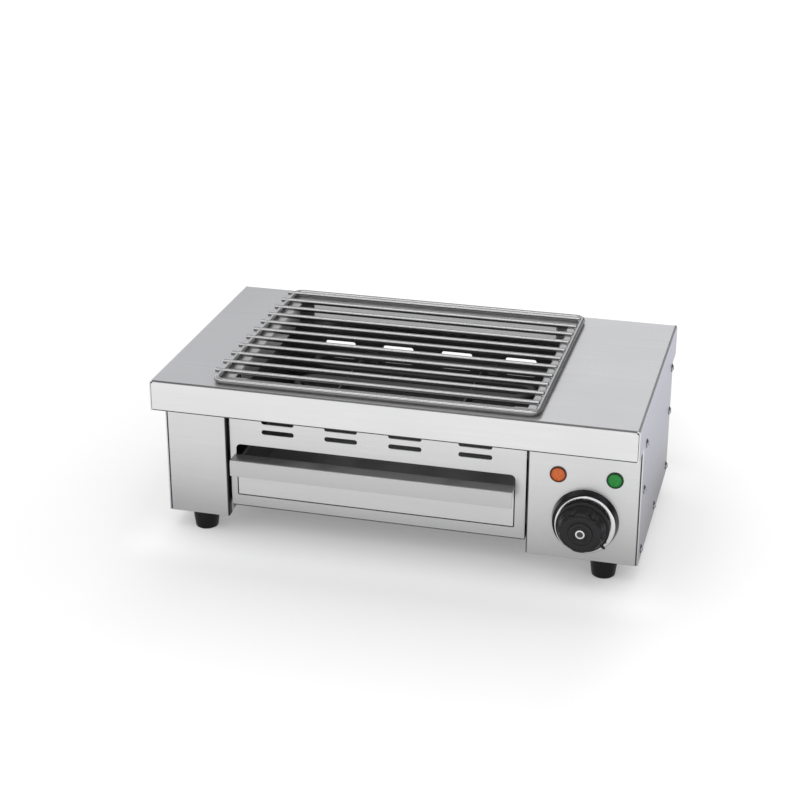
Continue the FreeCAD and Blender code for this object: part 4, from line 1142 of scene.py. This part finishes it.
class ROASTER_OT_lamps(Operator):
    """Turn the lenses of the two pilot lamps"""

    bl_idname = "roaster.lamps"
    bl_label = "Pilot Lamps"

    def execute(self, context):
        edge, dish, rows = 0.0008, 0.0021, 8    # rounding, rim of the dished middle, rings
        for tint in ("orange", "green"):
            node = tint + "_lamp_lens"
            radius, height, seat = turned_node(node)
            profile = [(0, 0), (0, radius), *rounded(height, radius, edge),
                       (height, radius - 0.0013), (height - 0.0007, radius - 0.0019)]
            for part in [row / rows for row in range(rows, -1, -1)]:
                profile.append((height - 0.0009 + 0.0006 * (1 - part ** 2),
                                (radius - dish) * part))
            name = tint.title() + "Lens"
            mesh = lathe(name, profile, seat, segments=72)
            place(name, mesh, finish(tint), [node], tint + "_lens")
        return {"FINISHED"}


class ROASTER_OT_side_screws(Operator):
    """Set the truss-head screws in both side faces"""

    bl_idname = "roaster.side_screws"
    bl_label = "Side Screws"

    def execute(self, context):
        sizes = context.scene.roaster_sizes
        head = self.head(sizes.screw_head / 2, sizes.screw_height)
        for side, face, turn in (("Left", COVER[0].x, math.pi), ("Right", COVER[1].x, 0.0)):
            node = side.lower() + "_side_screws"
            seats = [Vector((face, (low.y + high.y) / 2, (low.z + high.z) / 2))
                     for low, high in loose_parts(node)]
            name = side + "SideScrews"
            mesh = on_points(name, head, seats, turn, finish("screw"))
            place(name, mesh, finish("screw"), [node], "screw_steel")
        return {"FINISHED"}

    def head(self, radius, height):
        """Domed head facing +X with a cross recess pressed into it."""
        arm_half, arm_slope, arm_end, end_slope = 0.00075, 0.00035, 0.0026, 0.0006
        cross_depth, sunk = 0.0011, 0.0004
        ball = (radius ** 2 + height ** 2) / (2 * height)
        form = bmesh.new()
        steps = 16
        rows = []
        for reach in [radius * step / steps for step in range(steps + 1)]:
            spots = []
            for angle in turns(48) if reach else [0.0]:
                u, v = reach * math.cos(angle), reach * math.sin(angle)
                rise = math.sqrt(ball ** 2 - reach ** 2) - (ball - height)
                arm, along = sorted((abs(u), abs(v)))
                wall = max(0.0, min(1.0, (arm_half - arm) / arm_slope))
                end = max(0.0, min(1.0, (arm_end - along) / end_slope))
                spots.append(form.verts.new((rise - cross_depth * wall * end, u, v)))
            rows.append(spots)
        rows.append([form.verts.new((-sunk, vert.co.y, vert.co.z)) for vert in rows[-1]])
        skin(form, rows)
        form.faces.new(rows[-1])
        mesh = finished(form, "screw_head")
        sharpen(mesh, CRISP_SHEET)
        return mesh


class ROASTER_OT_feet(Operator):
    """Mould the four rubber feet"""

    bl_idname = "roaster.feet"
    bl_label = "Rubber Feet"

    def execute(self, context):
        sample = node_size(FEET[0])
        top, height = sample.x / 2, sample.z
        # Radius at the table, of the recess below and of the screw's hole; roundings.
        low, recess, hole, toe, rim = 0.0120, 0.006, 0.0026, 0.0016, 0.001
        profile = [(0.0, recess), (0.0, low - toe), *arc((toe, low - toe), toe, 180, 90)[1:],
                   (0.012, top - 0.0004), (height - 0.0022, top - 0.00015),
                   *rounded(height, top, rim), (height, hole), (height - 0.005, hole),
                   (height - 0.005, recess), (0.0, recess)]
        pattern = lathe("foot_pattern", profile, (0, 0, 0), (0, 0, 1), 64)
        spots = [Vector((*node_middle(node).xy, 0.0)) for node in FEET]
        mesh = on_points("RubberFeet", pattern, spots, 0.0, finish("rubber"))
        turned_out(mesh)
        place("RubberFeet", mesh, finish("rubber"), FEET, "foot_rubber")
        return {"FINISHED"}


class ROASTER_OT_fittings(Operator):
    """Finish the gland and every fitting inside the chamber and the control box"""

    bl_idname = "roaster.fittings"
    bl_label = "Inner Fittings"

    def execute(self, context):
        softened("CableGland", "cable_gland", finish("black"), "gland_plastic", width=0.0004)
        coats = {name: "chamber" for name in CHAMBER}
        coats.update({
            "heater_bushes": "nickel", "heater_nuts": "nickel", "heater_pins": "nickel",
            "heater_insulators": "ceramic", "terminal_block": "ceramic",
            "orange_lamp_body": "black", "green_lamp_body": "black", "lamp_nuts": "black",
            "gland_lock_nut": "black", "thermostat": "thermoset",
            "thermostat_shaft": "nickel", "thermostat_screws": "zinc",
            "thermostat_capillary": "copper", "thermostat_bulb": "copper",
            "foot_screws": "zinc", "foot_nuts": "zinc"})
        for name, coat in coats.items():
            mesh = nodes[name].data
            mesh.materials.clear()
            mesh.materials.append(finish(coat))
        return {"FINISHED"}


# ---- operator: the stage -----------------------------------------------------------------

CAMERA_AT = (0.4197, -1.67822, 0.87434)
CAMERA_TURN = (66.64, 0.0, 14.84)       # degrees
LENS = 80.66
BOX_AT, BOX_SIZE, BOX_POWER = (-0.1, -0.5, 2.4), (1.9, 0.9), 9.0
FLOOR_REACH = 14.0
# Painted light on the floor: its glow beside the roaster, then what is added on the open floor,
# at the right and left side, and close round the roaster's foot, where it lightens the shadow.
FLOOR_GLOW, OPEN_GLOW, RIGHT_GLOW, LEFT_GLOW, FOOT_GLOW = 0.128, 0.165, 0.105, 0.06, 0.08
# Painted reflection, the tone of the floor in the steel: (position along the ramp, grey), to
# 0.5 m ahead of and behind the lower body and to 1 / 3.4 m beside it, where it is a little
# blue.
AHEAD_SCALE, BESIDE_SCALE, BLUER = 2.0, 3.4, 1.14
AHEAD_TONES = ((0.0, 0.30), (0.108, 0.44), (0.26, 0.76), (0.368, 0.88), (0.554, 1.06),
               (0.788, 1.20), (1.0, 1.22))
BESIDE_TONES = ((0.0, 0.12), (0.055, 0.19), (0.184, 0.55), (0.275, 0.64), (0.5, 0.74),
                (1.0, 0.80))


class ROASTER_OT_stage(Operator):
    """Lay the floor and set the light and the camera"""

    bl_idname = "roaster.stage"
    bl_label = "Studio Stage"

    def execute(self, context):
        scene = context.scene
        scene.view_settings.view_transform = "Standard"
        self.floor(scene)
        self.surroundings(scene)
        self.softbox(scene)
        camera = bpy.data.objects.new("Camera", bpy.data.cameras.new("Camera"))
        camera.data.sensor_width = 36.0
        camera.data.lens = LENS
        camera.data.clip_start, camera.data.clip_end = 0.05, 60.0
        camera.location = CAMERA_AT
        camera.rotation_euler = Euler([math.radians(angle) for angle in CAMERA_TURN], "XYZ")
        scene.collection.objects.link(camera)
        scene.camera = camera
        return {"FINISHED"}

    def softbox(self, scene):
        """Wide light above the front, looking at the roaster."""
        light = bpy.data.lights.new("TopSoftbox", "AREA")
        light.shape = "RECTANGLE"
        light.size, light.size_y = BOX_SIZE
        light.energy = BOX_POWER
        lamp = bpy.data.objects.new("TopSoftbox", light)
        lamp.location = BOX_AT
        lamp.rotation_euler = (-Vector(BOX_AT)).to_track_quat("-Z", "Y").to_euler()
        scene.collection.objects.link(lamp)

    def floor(self, scene):
        """Wide pale floor with painted light in its glow; the steel sees a painted reflection
        of it, darker close round the roaster.
        """
        mesh = bpy.data.meshes.new("Floor")
        reach = FLOOR_REACH
        mesh.from_pydata([(-reach, -reach, 0), (reach, -reach, 0), (reach, reach, 0),
                          (-reach, reach, 0)], [], [(0, 1, 2, 3)])
        base = tuple(scene.roaster_finish.floor)
        material, tree, shader = new_material("Pale Floor", Roughness=0.8,
                                              Specular_IOR_Level=0.0, Emission_Strength=1.0)
        pale = blend(tree, clouded(tree, 1.5, 0.6), tone(base, 0.99), tone(base))
        spot = split(tree, coordinate(tree, "Object"))
        glossy = add(tree, "ShaderNodeLightPath").outputs["Is Glossy Ray"]
        away = self.distance(tree, spot)
        right = multiply(tree, ramp(tree, spot["X"], 0.20, 0.30), ramp(tree, away, 0.50, 0.0))
        left = multiply(tree, ramp(tree, spot["X"], -0.18, -0.30), ramp(tree, away, 0.30, 0.0))
        glow = FLOOR_GLOW
        for mask, amount in ((ramp(tree, away, 0.0, 0.46), OPEN_GLOW), (right, RIGHT_GLOW),
                             (left, LEFT_GLOW), (ramp(tree, away, 0.05, 0.0), FOOT_GLOW)):
            glow = plus(tree, multiply(tree, mask, amount), glow)
        feed(tree, shader, Base_Color=blend(tree, glossy, pale, shade(0.0)),
             Emission_Color=blend(tree, glossy, glow, self.mirrored(tree, spot)))
        mesh.materials.append(material)
        floor = bpy.data.objects.new("Floor", mesh)
        scene.collection.objects.link(floor)

    def past(self, tree, place, reach):
        """Distance past a reach that is the same on both sides, never below zero."""
        return math_node(tree, "MAXIMUM", minus(tree, absolute(tree, place), reach), 0.0)

    def distance(self, tree, spot):
        """Distance of a spot on the floor from the roaster's outline."""
        corner = COVER[1]
        return span(tree, combine(tree, self.past(tree, spot["X"], corner.x),
                                  self.past(tree, spot["Y"], corner.y)))

    def mirrored(self, tree, spot):
        """Painted reflection: tone of the floor in the steel, by its distance from the
        roaster's lower body.
        """
        out = self.past(tree, spot["X"], COVER[1].x)
        ahead = minus(tree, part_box("control_panel")[0].y, spot["Y"])
        behind = minus(tree, spot["Y"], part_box("rear_panel")[1].y)
        along = math_node(tree, "MAXIMUM", math_node(tree, "MAXIMUM", ahead, behind), 0.0)
        beside = multiply(tree, ramp(tree, out, 0.0, 0.05), ramp(tree, ahead, 0.10, 0.04))
        grey = [(at, (value, value, value)) for at, value in AHEAD_TONES]
        cool = [(at, (value, value, value * BLUER)) for at, value in BESIDE_TONES]
        return blend(tree, beside,
                     graded(tree, multiply(tree, along, AHEAD_SCALE), grey),
                     graded(tree, multiply(tree, out, BESIDE_SCALE), cool))

    def surroundings(self, scene):
        """Even room light; mirrored it is pale behind, dark at the right, with a band ahead."""
        world = bpy.data.worlds.new("Studio")
        scene.world = world
        world.use_nodes = True
        tree = world.node_tree
        way = split(tree, coordinate(tree, "Generated"))

        def turning(axis, low, high, first, second):
            """One tone of the room passing into another along an axis."""
            return blend(tree, ramp(tree, way[axis], low, high), first, second)

        rear = turning("X", -0.34, -0.10, shade(0.58, 0.585, 0.61), shade(0.94, 0.945, 0.96))
        rear = turning("X", -0.04, 0.10, rear, shade(0.14))
        low = turning("X", -0.36, -0.44, shade(0.16), shade(1.3))
        rear = turning("Z", 0.26, 0.14, rear, low)
        steep = turning("Z", 0.55, 0.75, rear, shade(0.32, 0.32, 0.325))
        ahead = turning("Z", 0.34, 0.52, shade(0.14, 0.14, 0.145), shade(1.35))
        ahead = turning("Z", 0.66, 0.80, ahead, shade(0.34))
        room = turning("Y", 0.10, -0.30, steep, ahead)
        path = add(tree, "ShaderNodeLightPath").outputs
        even = blend(tree, path["Is Diffuse Ray"], room, shade(1.0))
        tree.links.new(blend(tree, path["Is Camera Ray"], even, shade(1.0)),
                       tree.nodes["Background"].inputs["Color"])


# ---- panel and registration --------------------------------------------------------------

OPERATORS = (ROASTER_OT_sheet_metal, ROASTER_OT_drawer, ROASTER_OT_grate, ROASTER_OT_heater,
             ROASTER_OT_knob, ROASTER_OT_lamps, ROASTER_OT_side_screws, ROASTER_OT_feet,
             ROASTER_OT_fittings, ROASTER_OT_stage)


class ROASTER_PT_panel(Panel):
    """Lists the pieces, sizes and colours"""

    bl_idname = "ROASTER_PT_panel"
    bl_label = "Electric Fish Roaster"
    bl_space_type = "VIEW_3D"
    bl_region_type = "UI"
    bl_category = "Roaster"

    def draw(self, context):
        for group in (context.scene.roaster_sizes, context.scene.roaster_finish):
            box = self.layout.box()
            for name in group.__annotations__:
                box.prop(group, name)
        for operator in OPERATORS:
            self.layout.operator(operator.bl_idname)


CLASSES = (RoasterSizes, RoasterFinish, *OPERATORS, ROASTER_PT_panel)


def register():
    for cls in CLASSES:
        bpy.utils.register_class(cls)
    bpy.types.Scene.roaster_sizes = PointerProperty(type=RoasterSizes)
    bpy.types.Scene.roaster_finish = PointerProperty(type=RoasterFinish)


def unregister():
    del bpy.types.Scene.roaster_finish
    del bpy.types.Scene.roaster_sizes
    for cls in reversed(CLASSES):
        bpy.utils.unregister_class(cls)


def main():
    register()
    for operator in OPERATORS:
        group, name = operator.bl_idname.split(".")
        getattr(getattr(bpy.ops, group), name)()


if __name__ == "__main__":
    main()
